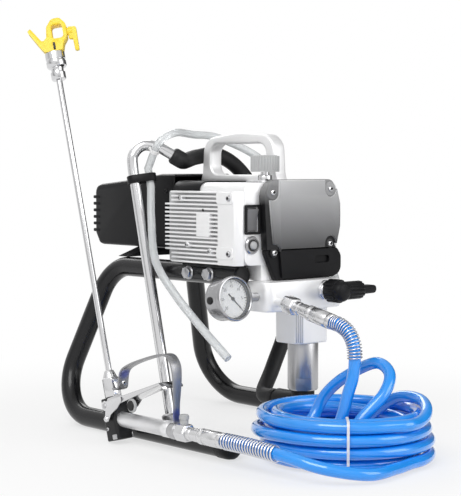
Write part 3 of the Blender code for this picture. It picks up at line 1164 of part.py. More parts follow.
def tip_guard(stand, base):
    """The yellow tip guard with its window and wings, and the tip that turns in it."""
    turned = place(0, 0, base, TIP_GUARD_TURN)
    half = TIP_GUARD_W / 2
    outline = rounded([(-half * 0.7, 0, 0.002), (half * 0.7, 0, 0.002), (half, TIP_GUARD_H * 0.35, 0.006),
                       (half, TIP_GUARD_H * 0.80, 0.008), (half * 0.6, TIP_GUARD_H, 0.004),
                       (-half * 0.6, TIP_GUARD_H, 0.004), (-half * 1.2, TIP_GUARD_H * 0.62, 0.004),
                       (-half * 2.2, TIP_GUARD_H * 0.72, 0.002), (-half * 2.1, TIP_GUARD_H * 0.48, 0.002),
                       (-half * 1.1, TIP_GUARD_H * 0.34, 0.006)], 3)
    made = link("tip_guard", prism_mesh("tip_guard", outline, TIP_GUARD_T, "XZ"), "yellow_plastic", stand,
                turned @ Matrix.Translation((0, -TIP_GUARD_T / 2, 0)))
    window = rectangle(-TIP_WINDOW_W / 2, TIP_WINDOW_W / 2, TIP_WINDOW_S - TIP_WINDOW_H / 2,
                       TIP_WINDOW_S + TIP_WINDOW_H / 2, 0.004, 3)
    boolean(made, prism_mesh("tip_window", window, 2 * TIP_GUARD_T, "XZ"),
            matrix=turned @ Matrix.Translation((0, -TIP_GUARD_T, 0)))
    seat = turned @ Matrix.Translation((0, 0, TIP_WINDOW_S))
    flag_x = half + GAP * 2
    boolean(made, rod_mesh("tip_bore", TIP_BARREL_R + RUN, flag_x + CUT), matrix=seat @ ALONG_X)
    tip = link("spray_tip", rod_mesh("spray_tip", TIP_BARREL_R, flag_x + TIP_FLAG / 2 - TIP_WINDOW_W * 0.3, 20),
               "yellow_plastic", stand, seat @ Matrix.Translation((TIP_WINDOW_W * 0.3, 0, 0)) @ ALONG_X)
    flag = rectangle(flag_x, flag_x + TIP_FLAG, -TIP_FLAG_H / 2, TIP_FLAG_H / 2, 0.003, 3)
    boolean(tip, prism_mesh("tip_flag", flag, TIP_FLAG_T, "XZ"), "UNION",
            seat @ Matrix.Translation((0, -TIP_FLAG_T / 2, 0)))


def gun_grip(root, stand):
    """The gun's handle, trigger and trigger guard."""
    length = GUN_FOOT_Y + 0.020 - GUN_HANDLE_END_Y
    taper = GUN_HANDLE_R * 0.82
    grip = [(0, length), (GUN_HANDLE_R, length), (GUN_HANDLE_R, length * 0.3), (taper, length * 0.12), (taper, 0), (0, 0)]
    handle = link("gun_handle", lathe_mesh("gun_handle", grip), "cast_silver", root,
                  place(GUN_X, GUN_HANDLE_END_Y, GUN_HANDLE_Z) @ ALONG_Y)
    wide = 0.1
    boolean(handle, box_mesh("handle_face", (-wide, -GUN_HALF_W - GAP, -wide), (wide, wide, wide)), matrix=GUN_AXIS)
    pivot = GUN_AXIS @ Vector((0, 0, TRIGGER_PIN_S))
    tip = Vector((TRIGGER_TIP_Y - pivot.y, TRIGGER_TIP_Z - pivot.z))
    eye = 0.0062
    profile = trigger_profile(tip, eye)
    trigger = link("trigger", prism_mesh("trigger", profile, TRIGGER_W, "YZ"), "bright_steel", root,
                   Matrix.Translation(pivot) @ Matrix.Translation((-TRIGGER_W / 2, 0, 0)))
    inner = GUN_HALF_T + 2 * GAP
    boolean(trigger, box_mesh("trigger_slot", (-inner, -GUN_HALF_W - 0.012, -wide), (inner, wide, wide)),
            matrix=GUN_AXIS)
    boolean(trigger, rod_mesh("trigger_bore", TRIGGER_PIN_R + RUN, 2 * TRIGGER_W, 12),
            matrix=Matrix.Translation(pivot) @ place(-TRIGGER_W) @ ALONG_X)
    trigger_guard(root)


def trigger_profile(tip, eye):
    """Side view of the trigger: a round eye on its pin and a lever that ends in a flare."""
    heading = math.atan2(tip.y, tip.x)
    outline = []
    for degrees in range(50, 311, 20):
        angle = heading + math.radians(degrees)
        outline.append((eye * math.cos(angle), eye * math.sin(angle)))
    along = tip.normalized()
    across = Vector((-along.y, along.x)) * (TRIGGER_T / 2)
    flare = tip + along * 0.006 + across * 4
    return outline + [tuple(tip - across), tuple(flare - across), tuple(flare + across), tuple(tip + across)]


def trigger_guard(root):
    """A bent strap from the pole nut, over the trigger and down to the swivel end of the handle."""
    start = GUN_AXIS @ Vector((0, -POLE_NUT_R - GAP, GUARD_START_S))
    away = GUN_AXIS @ Vector((0, -POLE_NUT_R - GUARD_RUN, GUARD_START_S))
    swivel_top = GUN_HANDLE_Z + SWIVEL_R * math.cos(math.pi / SWIVEL_SIDES) + GAP
    centre = [(start.y, start.z), (away.y, away.z), *GUARD_LINE, (GUARD_LINE[-1][0], swivel_top)]
    fine = [p.to_2d() for p in straight_ended([Vector((a, b, 0)) for a, b in centre], 0.007)]
    left, right = [], []
    for index, point in enumerate(fine):
        ahead = (fine[min(index + 1, len(fine) - 1)] - fine[max(index - 1, 0)]).normalized()
        across = Vector((-ahead.y, ahead.x)) * (GUARD_T / 2)
        left.append(tuple(point + across))
        right.append(tuple(point - across))
    link("trigger_guard", prism_mesh("trigger_guard", left + right[::-1], GUARD_W, "YZ"), "bright_steel", root,
         place(GUN_X - GUARD_W / 2, 0, 0))


# Suction set

def suction_set(root):
    """The steel gooseneck with its strainer, the black suction hose, the clear drain hose and their clip."""
    rise = [PIPE_FOOT.lerp(PIPE_TOP, share) for share in (0.0, 0.5, 0.9, 1.0)]
    neck = [*smooth_route([*rise, *GOOSENECK], 0.016), PIPE_END]
    tube("suction_pipe", neck, PIPE_R, "bright_steel", root, 3)
    slant = (PIPE_FOOT - PIPE_TOP).normalized()
    strainer = [(0, STRAINER_LEN), (STRAINER_R * 0.8, STRAINER_LEN), (STRAINER_R, STRAINER_LEN - 0.003),
                (STRAINER_R, 0.002), (STRAINER_R - 0.002, 0), (0, 0)]
    link("suction_strainer", lathe_mesh("suction_strainer", strainer), "bright_steel", root,
         aligned(PIPE_FOOT + slant * GAP, PIPE_FOOT + slant))
    heading = (neck[-1] - neck[-2]).normalized()
    arm_end = Vector((PUMP_X, PUMP_Y + ELBOW_ARM + GAP, ELBOW_TOP_Z - ELBOW_ARM_DROP))
    hose = [PIPE_END + heading * GAP, PIPE_END + heading * 0.016, Vector((-0.040, 0.156, 0.348)),
            Vector((0.004, 0.162, 0.350)), Vector((0.038, 0.150, 0.324)), Vector((0.060, 0.118, 0.256)),
            Vector((0.064, 0.092, 0.190)), Vector((0.054, 0.082, 0.130)), Vector((0.022, 0.076, 0.074)),
            Vector((-0.008, 0.062, 0.046)), arm_end + Vector((0, 0.014, 0)), arm_end]
    tube("suction_hose", straight_ended(hose, 0.020), SUCTION_R, "black_rubber", root, 3)
    clip_spot = PIPE_FOOT.lerp(PIPE_TOP, CLIP_SHARE)
    tube_clip(clip_spot, slant, root)
    before = [Vector((0.034, -0.026, MANIFOLD_Z)), Vector((0.056, 0.000, 0.200)), Vector((0.062, 0.052, 0.268)),
              Vector((0.042, 0.108, 0.338)), Vector((0.000, 0.152, 0.3720)), Vector((-0.050, 0.152, 0.3770)),
              Vector((-0.096, 0.134, 0.378)), Vector((-0.121, 0.135, 0.365)),
              clip_spot + DRAIN_SIDE - slant * CLIP_RUN]
    after = [clip_spot + DRAIN_SIDE + slant * CLIP_RUN, Vector((-0.134, 0.134, 0.270)),
             Vector((-0.150, 0.106, 0.219)), Vector((-0.155, 0.062, 0.180)), Vector((-0.154, 0.018, 0.146)),
             Vector((-0.150, -0.028, 0.111))]
    start = Vector((MANIFOLD_RIGHT_X + GAP, before[0].y, MANIFOLD_Z))
    drain = [start, *smooth_route(before, 0.019), *smooth_route(after, 0.019)]
    tube("drain_hose", drain, DRAIN_R, "clear_plastic", root, 2)


def tube_clip(spot, slant, root):
    """The black double clip that holds the drain hose beside the suction pipe."""
    seat = aligned(spot - slant * CLIP_T / 2, spot)
    side = (seat.inverted() @ (spot + DRAIN_SIDE)).to_2d()
    pipe_ring, drain_ring = PIPE_R + CLIP_WALL, DRAIN_R + CLIP_SLACK + CLIP_WALL
    away = math.atan2(side.y, side.x)
    arc = [math.radians(v) for v in range(-80, 81, 20)]
    outline = [(side.x + drain_ring * math.cos(away + a), side.y + drain_ring * math.sin(away + a)) for a in arc]
    outline += [(pipe_ring * math.cos(away + math.pi + a), pipe_ring * math.sin(away + math.pi + a)) for a in arc]
    holes = [disc(0, 0, PIPE_R + GAP, 20), disc(side.x, side.y, DRAIN_R + CLIP_SLACK, 16)]
    link("tube_clip", prism_mesh("tube_clip", outline, CLIP_T, "XY", holes), "black_plastic", root, seat)


def centre_on_floor(root):
    """Move the whole machine so that the origin is the middle of its footprint, cords left out."""
    bpy.context.view_layer.update()
    graph = bpy.context.evaluated_depsgraph_get()
    low = Vector((9, 9, 9))
    high = Vector((-9, -9, -9))
    for item in bpy.data.objects:
        if item.type == "EMPTY" or item.hide_render or item.name in CORD_NODES:
            continue
        ready = item.evaluated_get(graph)
        shape = ready.to_mesh()
        for vertex in shape.vertices:
            spot = item.matrix_world @ vertex.co
            low = Vector(map(min, low, spot))
            high = Vector(map(max, high, spot))
        ready.to_mesh_clear()
    shift = Vector((-(low.x + high.x) / 2, -(low.y + high.y) / 2, -low.z))
    root.location = shift
    print("machine datum at", [round(v, 5) for v in shift], "size", [round(v, 4) for v in high - low])


def main():
    """Build every sub-part under one root."""
    clear_scene()
    root = empty("sprayer")
    for side, sign in (("left", -1), ("right", 1)):
        frame_side(side, sign, root)
    carrier(root)
    motor_support(root)
    drive_housing(root)
    front_cover(root)
    carry_handle(root)
    pressure_knob(root)
    control_cover(root)
    switch_and_reset(root)
    motor_cover(root)
    motor_and_gears(root)
    yoke_and_rod(root)
    fluid_end(root)
    gauge(root)
    prime_valve(root)
    paint_hose(root)
    gun(root)
    suction_set(root)
    centre_on_floor(root)


main()
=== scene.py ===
"""Looks of the airless paint sprayer: dressed pieces, finishes, hoses, studio and camera.

Metres, +Z up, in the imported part's own frame. Places are laid out from the machine's datum, as in the part.
"""

import logging
import math
from dataclasses import dataclass
from enum import Enum

import bmesh
import bpy
from mathutils import Matrix, Vector


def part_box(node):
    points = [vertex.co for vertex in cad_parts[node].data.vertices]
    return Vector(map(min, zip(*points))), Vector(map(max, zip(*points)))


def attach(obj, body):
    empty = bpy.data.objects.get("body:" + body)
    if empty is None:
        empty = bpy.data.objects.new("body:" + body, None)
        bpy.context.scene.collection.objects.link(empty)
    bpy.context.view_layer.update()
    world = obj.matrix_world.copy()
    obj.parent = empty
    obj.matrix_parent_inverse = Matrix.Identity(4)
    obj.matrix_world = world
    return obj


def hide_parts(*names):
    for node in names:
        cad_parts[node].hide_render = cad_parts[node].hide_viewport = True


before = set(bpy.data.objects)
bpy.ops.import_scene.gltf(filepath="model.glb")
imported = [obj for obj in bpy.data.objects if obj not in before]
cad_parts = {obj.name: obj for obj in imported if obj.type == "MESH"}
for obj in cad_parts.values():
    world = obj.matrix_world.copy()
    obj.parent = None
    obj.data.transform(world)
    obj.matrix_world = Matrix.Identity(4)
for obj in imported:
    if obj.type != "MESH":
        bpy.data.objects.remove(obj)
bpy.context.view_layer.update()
LOG = logging.getLogger("sprayer")

Flat = tuple[float, float]
Triple = tuple[float, float, float]
Triples = tuple[Triple, ...]
Profile = list[Flat]
Route = list[Vector]
Piece = bpy.types.Object
Tree = bpy.types.NodeTree
Socket = bpy.types.NodeSocket

DATUM = Vector((0.06681, -0.1127, 0.0))
GAP = 0.0003
MID_X = -0.040
CURVE_STEPS = 24
BROAD_SCALE = 34.0
ROUGH_RANGE = (0.82, 1.18)
COAT_ROUGHNESS = 0.08
AHEAD = Vector((0, -1, 0))
LEFT = Vector((-1, 0, 0))
FRONTWARDS = Matrix.Rotation(math.radians(90), 4, "X")
SIDEWAYS = Matrix(((0, 0, 1, 0), (1, 0, 0, 0), (0, 1, 0, 0), (0, 0, 0, 1)))


# Places and outlines

def at(x: float, y: float, z: float) -> Vector:
    """Return a spot, given from the machine's datum, in the part's frame."""
    return Vector((x, y, z)) + DATUM


def moved(x: float, y: float, z: float) -> Matrix:
    """Return the matrix that moves a form to a spot given from the datum."""
    return Matrix.Translation(at(x, y, z))


def along_axes(place: Matrix, x: float, y: float, z: float) -> Matrix:
    """Return a place moved along its own axes."""
    return place @ Matrix.Translation((x, y, z))


def turned(degrees: float, axis: str) -> Matrix:
    """Return the matrix that turns a form about one of its axes."""
    return Matrix.Rotation(math.radians(degrees), 4, axis)


def spread(spots: Triples) -> Route:
    """Return spots given from the datum, in the part's frame."""
    return [at(*spot) for spot in spots]


def seat(spot: Vector, along: Vector, spin: float = 0.0) -> Matrix:
    """Set a form's local Z along a direction.

    Args:
        spot: where the form's origin goes, in the part's frame.
        along: the direction that local Z takes.
        spin: degrees that the form turns about its own axis.

    Returns:
        The placing matrix.
    """
    turn = along.to_track_quat("Z", "Y").to_matrix().to_4x4()
    return Matrix.Translation(spot) @ turn @ turned(spin, "Z")


def fillet(here: Vector, before: Vector, after: Vector, radius: float) -> tuple[Vector, Vector, Vector]:
    """Find the arc that rounds a corner.

    Args:
        here: the corner.
        before: the way back to the corner before it.
        after: the way on to the next.
        radius: the arc's radius.

    Returns:
        The arc's centre, and its start and end from there.
    """
    half = before.angle(after) / 2
    centre = here + (before + after).normalized() * (radius / math.sin(half))
    reach = radius / math.tan(half)
    return centre, here + before * reach - centre, here + after * reach - centre


def rounded(corners: list[Triple], steps: int = 8) -> Profile:
    """Round an outline's corners by arcs.

    Args:
        corners: (a, b, radius) for each corner in order.
        steps: pieces in each arc.

    Returns:
        The outline's points.
    """
    outline = []
    count = len(corners)
    for index, (a, b, radius) in enumerate(corners):
        here = Vector((a, b))
        before = (Vector(corners[index - 1][:2]) - here).normalized()
        after = (Vector(corners[(index + 1) % count][:2]) - here).normalized()
        if radius <= 0:
            outline.append((a, b))
            continue
        centre, start, end = fillet(here, before, after, radius)
        sweep = start.angle_signed(end)
        for step in range(steps + 1):
            outline.append(tuple(centre + Matrix.Rotation(-sweep * step / steps, 2) @ start))
    return outline


def rectangle(a0: float, a1: float, b0: float, b1: float, radius: float = 0.0) -> Profile:
    """Return a rectangle's outline with round corners."""
    return rounded([(a0, b0, radius), (a1, b0, radius), (a1, b1, radius), (a0, b1, radius)])


def disc(radius: float, count: int = 32, start: float = 0.0) -> Profile:
    """Return a round or many-sided outline about the origin."""
    turns = [start + math.tau * k / count for k in range(count)]
    return [(radius * math.cos(turn), radius * math.sin(turn)) for turn in turns]


def hexagon(flats: float) -> Profile:
    """Return a hexagon by half the width across its flats."""
    return disc(flats / math.cos(math.pi / 6), 6)


def wheel(count: int, outer: float, inner: float, share: float = 0.5) -> Profile:
    """Outline a round grip with even ribs.

    Args:
        count: how many ribs.
        outer: radius over the ribs.
        inner: radius between them.
        share: how much of the pitch a rib takes.

    Returns:
        The outline's points.
    """
    outline = []
    for rib in range(count):
        for part, radius in ((0.0, outer), (share, outer), (share + 0.14, inner), (0.86, inner)):
            angle = math.tau * (rib + part) / count
            outline.append((radius * math.cos(angle), radius * math.sin(angle)))
    return outline


def clipped(outline: Profile, level: float, above: bool) -> Profile:
    """Cut an outline off level.

    Args:
        outline: the points in order.
        level: height of the cut.
        above: keep what lies above the cut, and otherwise what lies below.

    Returns:
        The outline that is left.
    """
    kept = []
    for (a, b), (c, d) in zip(outline, outline[1:] + outline[:1]):
        inside = b >= level if above else b <= level
        if inside:
            kept.append((a, b))
        if (b - level) * (d - level) < 0:
            kept.append((a + (c - a) * (level - b) / (d - b), level))
    return kept


def grown(outline: Profile, width: float) -> Profile:
    """Move an outline's points outward.

    Args:
        outline: its points.
        width: how far they move.

    Returns:
        The wider outline.
    """
    count = len(outline)
    turn = sum(a * d - c * b for (a, b), (c, d) in zip(outline, outline[1:] + outline[:1]))
    way = width if turn > 0 else -width
    wider = []
    for index, (a, b) in enumerate(outline):
        before, after = outline[index - 1], outline[(index + 1) % count]
        run = Vector((after[0] - before[0], after[1] - before[1])).normalized()
        wider.append((a + way * run.y, b - way * run.x))
    return wider


# Routes of tubes and hoses

def smooth_route(points: Route, spacing: float) -> Route:
    """Read evenly spaced points from a smooth curve.

    Args:
        points: the route's own points.
        spacing: distance between the points that are read.

    Returns:
        The finer route.
    """
    ends = [points[0] * 2 - points[1], *points, points[-1] * 2 - points[-2]]
    fine = []
    for before, start, end, after in zip(ends, ends[1:], ends[2:], ends[3:]):
        bend = 2 * before - 5 * start + 4 * end - after
        twist = 3 * start - before - 3 * end + after
        for step in range(CURVE_STEPS):
            t = step / CURVE_STEPS
            fine.append(0.5 * (2 * start + (end - before) * t + bend * t ** 2 + twist * t ** 3))
    fine.append(points[-1].copy())
    length = route_length(fine)
    count = max(2, round(length / spacing))
    route = [fine[0]]
    walked = 0.0
    for a, b in zip(fine, fine[1:]):
        walked += (b - a).length
        while len(route) < count and walked >= len(route) * length / count:
            over = walked - len(route) * length / count
            route.append(b + (a - b) * (over / max((b - a).length, 1e-9)))
    route.append(fine[-1])
    return route


def straight_ended(points: Route, spacing: float) -> Route:
    """Return a smooth route whose first and last runs stay straight."""
    return [points[0], *smooth_route(points[1:-1], spacing), points[-1]]


def bent_route(corners: list[tuple[Vector, float]], steps: int = 14) -> Route:
    """Join straight runs by round bends.

    Args:
        corners: each corner and its bend radius.
        steps: pieces in each bend.

    Returns:
        The route's points.
    """
    route = []
    last = len(corners) - 1
    for index, (point, radius) in enumerate(corners):
        if index in (0, last):
            route.append(point)
            continue
        before = (corners[index - 1][0] - point).normalized()
        after = (corners[index + 1][0] - point).normalized()
        centre, start, end = fillet(point, before, after, radius)
        for step in range(steps + 1):
            route.append(centre + start.normalized().slerp(end.normalized(), step / steps) * start.length)
    return route


def route_length(route: Route) -> float:
    """Return how long a route is."""
    return sum((b - a).length for a, b in zip(route, route[1:]))


# Shader nodes

def ranged(tree: Tree, value: Socket, source: Flat, target: Flat = (0.0, 1.0),
           smooth: bool = False) -> Socket:
    """Map a value from one range to another.

    Args:
        tree: the nodes.
        value: what is mapped.
        source: the range that it comes from.
        target: the range that it goes to.
        smooth: ease in and out.

    Returns:
        The mapped value.
    """
    node = tree.nodes.new("ShaderNodeMapRange")
    node.interpolation_type = "SMOOTHSTEP" if smooth else "LINEAR"
    for name, level in zip(("From Min", "From Max", "To Min", "To Max"), (*source, *target)):
        node.inputs[name].default_value = level
    tree.links.new(value, node.inputs["Value"])
    return node.outputs["Result"]


def joined(tree: Tree, operation: str, first: Socket, second: Socket) -> Socket:
    """Join two values by a sum, a product or the like.

    Args:
        tree: the nodes.
        operation: Blender's name for what is done.
        first: one value.
        second: the other.

    Returns:
        The joined value.
    """
    node = tree.nodes.new("ShaderNodeMath")
    node.operation = operation
    for place, value in zip(node.inputs, (first, second)):
        tree.links.new(value, place)
    return node.outputs["Value"]


def blended(tree: Tree, share: Socket, first: Socket, second: Socket) -> Socket:
    """Blend two shaders.

    Args:
        tree: the nodes.
        share: how much of the second shows.
        first: one shader.
        second: the other.

    Returns:
        The shader of both.
    """
    node = tree.nodes.new("ShaderNodeMixShader")
    for place, value in zip(node.inputs, (share, first, second)):
        tree.links.new(value, place)
    return node.outputs["Shader"]


# Finishes

class Body(Enum):
    """The bodies that pieces ride on."""

    MACHINE = "machine"
    KNOB = "knob"
    ROCKER = "rocker"
    RESET = "reset"
    PRIME = "prime_lever"
    NEEDLE = "needle"
    TRIGGER = "gun_trigger"
    TIP = "tip"


class Grain(Enum):
    """Fine relief of a surface: noise scale, stretch along the axes, and depth in metres."""

    CAST = (620.0, (1.0, 1.0, 1.0), 0.00030)
    MOULDED = (1500.0, (1.0, 1.0, 1.0), 0.00012)
    BRUSHED = (420.0, (1.0, 1.0, 14.0), 0.00005)
    SMOOTH = (160.0, (1.0, 1.0, 1.0), 0.00004)


@dataclass(frozen=True)
class Finish:
    """How one surface looks: colour, gloss, fine relief and slight unevenness."""

    name: str
    colour: Triple
    roughness: float
    slot: str
    metallic: float = 0.0
    grain: Grain = Grain.MOULDED
    relief: float = 0.15
    uneven: float = 0.08
    coat: float = 0.0
    clear: float = 0.0
    alpha: float = 1.0
    gloss: float = 0.5

    def material(self) -> bpy.types.Material:
        """Make the finish as a procedural material, once.

        Returns:
            The material.
        """
        found = bpy.data.materials.get(self.name)
        if found:
            return found
        made = bpy.data.materials.new(self.name)
        made.use_nodes = True
        tree = made.node_tree
        shader = tree.nodes["Principled BSDF"]
        shader.inputs["Metallic"].default_value = self.metallic
        shader.inputs["Coat Weight"].default_value = self.coat
        shader.inputs["Coat Roughness"].default_value = COAT_ROUGHNESS
        shader.inputs["Transmission Weight"].default_value = self.clear
        shader.inputs["Alpha"].default_value = self.alpha
        shader.inputs["Specular IOR Level"].default_value = self.gloss
        spots = tree.nodes.new("ShaderNodeTexCoord").outputs["Object"]
        broad = self.noise(tree, spots, BROAD_SCALE, 4.0)
        tree.links.new(self.tone(tree, spots, broad), shader.inputs["Base Color"])
        rough = tuple(min(1.0, self.roughness * share) for share in ROUGH_RANGE)
        tree.links.new(ranged(tree, broad, (0.0, 1.0), rough), shader.inputs["Roughness"])
        scale, stretch, depth = self.grain.value
        stretched = tree.nodes.new("ShaderNodeMapping")
        stretched.inputs["Scale"].default_value = stretch
        tree.links.new(spots, stretched.inputs["Vector"])
        fine = self.noise(tree, stretched.outputs["Vector"], scale, 2.0)
        bump = tree.nodes.new("ShaderNodeBump")
        bump.inputs["Strength"].default_value = self.relief
        bump.inputs["Distance"].default_value = depth
        tree.links.new(fine, bump.inputs["Height"])
        tree.links.new(bump.outputs["Normal"], shader.inputs["Normal"])
        return made

    def noise(self, tree: Tree, spots: Socket, scale: float, detail: float) -> Socket:
        """Add a noise.

        Args:
            tree: the material's nodes.
            spots: where the noise is read.
            scale: how fine it is, per metre.
            detail: how many finer layers it has.

        Returns:
            The noise's value.
        """
        node = tree.nodes.new("ShaderNodeTexNoise")
        node.inputs["Scale"].default_value = scale
        node.inputs["Detail"].default_value = detail
        tree.links.new(spots, node.inputs["Vector"])
        return node.outputs["Fac"]

    def tone(self, tree: Tree, spots: Socket, broad: Socket) -> Socket:
        """Vary the colour a little over the surface.

        Args:
            tree: the material's nodes.
            spots: Object coordinates, not used by this plain tone.
            broad: the noise that the colour follows.

        Returns:
            The colour.
        """
        mix = tree.nodes.new("ShaderNodeMix")
        mix.data_type = "RGBA"
        low = [value * (1 - self.uneven) for value in self.colour]
        high = [min(1.0, value * (1 + self.uneven)) for value in self.colour]
        mix.inputs["A"].default_value = (*low, 1.0)
        mix.inputs["B"].default_value = (*high, 1.0)
        tree.links.new(broad, mix.inputs["Factor"])
        return mix.outputs["Result"]

    def laid(self, tree: Tree, under: Socket, share: Socket, over: Triple) -> Socket:
        """Lay a second colour over the first.

        Args:
            tree: the material's nodes.
            under: the first colour.
            share: how much of the second shows.
            over: the second colour.

        Returns:
            The colour of both.
        """
        mix = tree.nodes.new("ShaderNodeMix")
        mix.data_type = "RGBA"
        mix.inputs["B"].default_value = (*over, 1.0)
        tree.links.new(share, mix.inputs["Factor"])
        tree.links.new(under, mix.inputs["A"])
        return mix.outputs["Result"]


@dataclass(frozen=True)
class PaintedReflection(Finish):
    """A plastic with a painted reflection: its colour pales towards its top."""

    pale: Triple = (0.5, 0.5, 0.505)
    low_z: float = 0.236
    high_z: float = 0.320

    def tone(self, tree: Tree, spots: Socket, broad: Socket) -> Socket:
        """Paint a reflection into the colour, which pales with height.

        Args:
            tree: the material's nodes.
            spots: Object coordinates.
            broad: the noise that the colour follows.

        Returns:
            The colour.
        """
        split = tree.nodes.new("ShaderNodeSeparateXYZ")
        tree.links.new(spots, split.inputs["Vector"])
        rise = ranged(tree, split.outputs["Z"], (self.low_z, self.high_z))
        return self.laid(tree, super().tone(tree, spots, broad), rise, self.pale)


@dataclass(frozen=True)
class PaintedBlueReflection(Finish):
    """A steel with the blue hose's reflection painted on near its bends."""

    reflected_blue: Triple = (0.06, 0.09, 0.42)
    places: Triples = ()
    reach: float = 0.013

    def tone(self, tree: Tree, spots: Socket, broad: Socket) -> Socket:
        """Paint the hose's blue reflection into the steel near the bends.

        Args:
            tree: the material's nodes.
            spots: Object coordinates.
            broad: the noise that the colour follows.

        Returns:
            The colour.
        """
        colour = super().tone(tree, spots, broad)
        for place in self.places:
            away = tree.nodes.new("ShaderNodeVectorMath")
            away.operation = "DISTANCE"
            away.inputs[1].default_value = at(*place)
            tree.links.new(spots, away.inputs[0])
            fade = ranged(tree, away.outputs["Value"], (self.reach * 0.3, self.reach), (0.75, 0.0), True)
            colour = self.laid(tree, colour, fade, self.reflected_blue)
        return colour


@dataclass(frozen=True)
class Bright(Finish):
    """A bright steel."""

    slot: str = "bright_steel"
    metallic: float = 1.0
    grain: Grain = Grain.SMOOTH


FRAME_PAINT = Finish("frame_gloss_paint", (0.008, 0.008, 0.009), 0.22, "black_gloss", grain=Grain.SMOOTH,
                     relief=0.25, uneven=0.2, coat=0.12, gloss=0.3)
SHELL = Finish("moulded_black_shell", (0.009, 0.009, 0.010), 0.42, "black_plastic", relief=0.30, gloss=0.16)
# The cover finishes below pale with height: a painted reflection on black plastic.
COVER_SHELL_PAINTED_REFLECTION = PaintedReflection("cover_shell", (0.006, 0.006, 0.007), 0.34, "black_plastic", relief=0.25, gloss=0.35,
                     pale=(0.30, 0.30, 0.303), low_z=0.290)
COVER_LAND_PAINTED_REFLECTION = PaintedReflection("cover_land", (0.012, 0.012, 0.013), 0.34, "black_plastic", relief=0.2, gloss=0.35,
                    pale=(0.24, 0.24, 0.244))
# Lighter lands for the right-hand screws: a painted reflection on the cover's brighter side.
LAND_PAINTED_BRIGHT_SIDE = PaintedReflection("cover_land_painted_bright_side", (0.014, 0.014, 0.015), 0.34, "black_plastic", relief=0.2, gloss=0.35,
                   pale=(0.40, 0.40, 0.404))
# A light line round the raised panel: a painted highlight.
RIM_PAINTED_HIGHLIGHT = PaintedReflection("cover_rim_painted_highlight", (0.060, 0.060, 0.062), 0.34, "black_plastic", relief=0.12, coat=0.15,
                   pale=(0.70, 0.70, 0.705))
COVER_FACE_PAINTED_REFLECTION = PaintedReflection("cover_face_painted_reflection", (0.042, 0.042, 0.044), 0.32, "black_plastic", relief=0.12, coat=0.15)
COVER_LOWER = Finish("access_cover_black", (0.007, 0.007, 0.008), 0.38, "black_plastic", relief=0.2,
                     gloss=0.16)
GUN_BLACK = Finish("gun_black", (0.008, 0.008, 0.009), 0.42, "black_plastic", relief=0.4, gloss=0.35)
PLUG_BLACK = Finish("plug_black", (0.010, 0.010, 0.011), 0.5, "black_plastic", relief=0.2, gloss=0.35)
RUBBER = Finish("hose_rubber", (0.010, 0.010, 0.011), 0.55, "black_rubber", relief=0.4, gloss=0.35)
KNOB_GREY = Finish("knob_grey", (0.46, 0.465, 0.47), 0.5, "grey_plastic", relief=0.3)
CAST = Finish("cast_alloy", (0.92, 0.92, 0.925), 0.42, "cast_silver", metallic=0.45, grain=Grain.CAST,
              relief=0.35, uneven=0.05)
SATIN = Finish("satin_alloy", (0.88, 0.88, 0.89), 0.36, "cast_silver", metallic=0.5, grain=Grain.BRUSHED,
               relief=0.2)
# A darker cast tone laid on the floor between the fins: painted shade.
CAST_PAINTED_SHADE = Finish("cast_alloy_painted_shade", (0.52, 0.52, 0.525), 0.55, "cast_silver", metallic=0.35,
                    grain=Grain.CAST, relief=0.35)
FITTING = Bright("plated_fitting", (0.72, 0.72, 0.73), 0.26, relief=0.08)
STEEL = Bright("turned_steel", (0.50, 0.50, 0.51), 0.30, grain=Grain.BRUSHED, relief=0.12)
CHROME = Bright("chrome", (0.68, 0.68, 0.69), 0.12, relief=0.04, uneven=0.05)
WIRE = Bright("spring_wire", (0.70, 0.70, 0.72), 0.22, relief=0.1)
# The strap's steel, with a painted blue reflection of the hose near two bends.
STRAP_PAINTED_REFLECTION = PaintedBlueReflection("strap_painted_blue_reflection", (0.34, 0.34, 0.35), 0.36, "bright_steel", metallic=0.75, grain=Grain.SMOOTH,
                   relief=0.05, reach=0.011, places=((-0.207, 0.0975, 0.0870), (-0.207, -0.002, 0.048)))
GAUGE_STEEL = Bright("gauge_steel", (0.40, 0.40, 0.41), 0.20, relief=0.06)
POLISHED = Bright("polished_cylinder", (0.46, 0.46, 0.47), 0.34, grain=Grain.BRUSHED, relief=0.10)
DIAL = Finish("dial_white", (0.84, 0.84, 0.83), 0.35, "white_paint", grain=Grain.SMOOTH, relief=0.05,
              uneven=0.02)
ROCKER_GREY = Finish("rocker_grey", (0.17, 0.17, 0.175), 0.40, "black_plastic", relief=0.2, gloss=0.4)
INK = Finish("dial_ink", (0.010, 0.010, 0.011), 0.5, "black_plastic", grain=Grain.SMOOTH)
LENS = Finish("gauge_lens", (0.92, 0.94, 0.95), 0.04, "clear_plastic", grain=Grain.SMOOTH, relief=0.02,
              uneven=0.01, alpha=0.10)
HOSE_BLUE = Finish("blue_hose_skin", (0.007, 0.315, 1.0), 0.15, "blue_hose", grain=Grain.SMOOTH, relief=0.25,
                   uneven=0.10, coat=0.9)
YELLOW = Finish("yellow_guard", (0.93, 0.70, 0.045), 0.42, "yellow_plastic", grain=Grain.SMOOTH,
                relief=0.05, uneven=0.04)
DRAIN_CLEAR = Finish("clear_drain_hose", (0.84, 0.86, 0.87), 0.20, "clear_plastic", grain=Grain.SMOOTH,
                     relief=0.2, clear=0.45)
TIE_WHITE = Finish("white_tie", (0.84, 0.84, 0.84), 0.42, "white_plastic", relief=0.3)
COPPER = Finish("motor_copper", (0.58, 0.27, 0.12), 0.4, "copper", metallic=0.9, grain=Grain.BRUSHED)


# Meshes

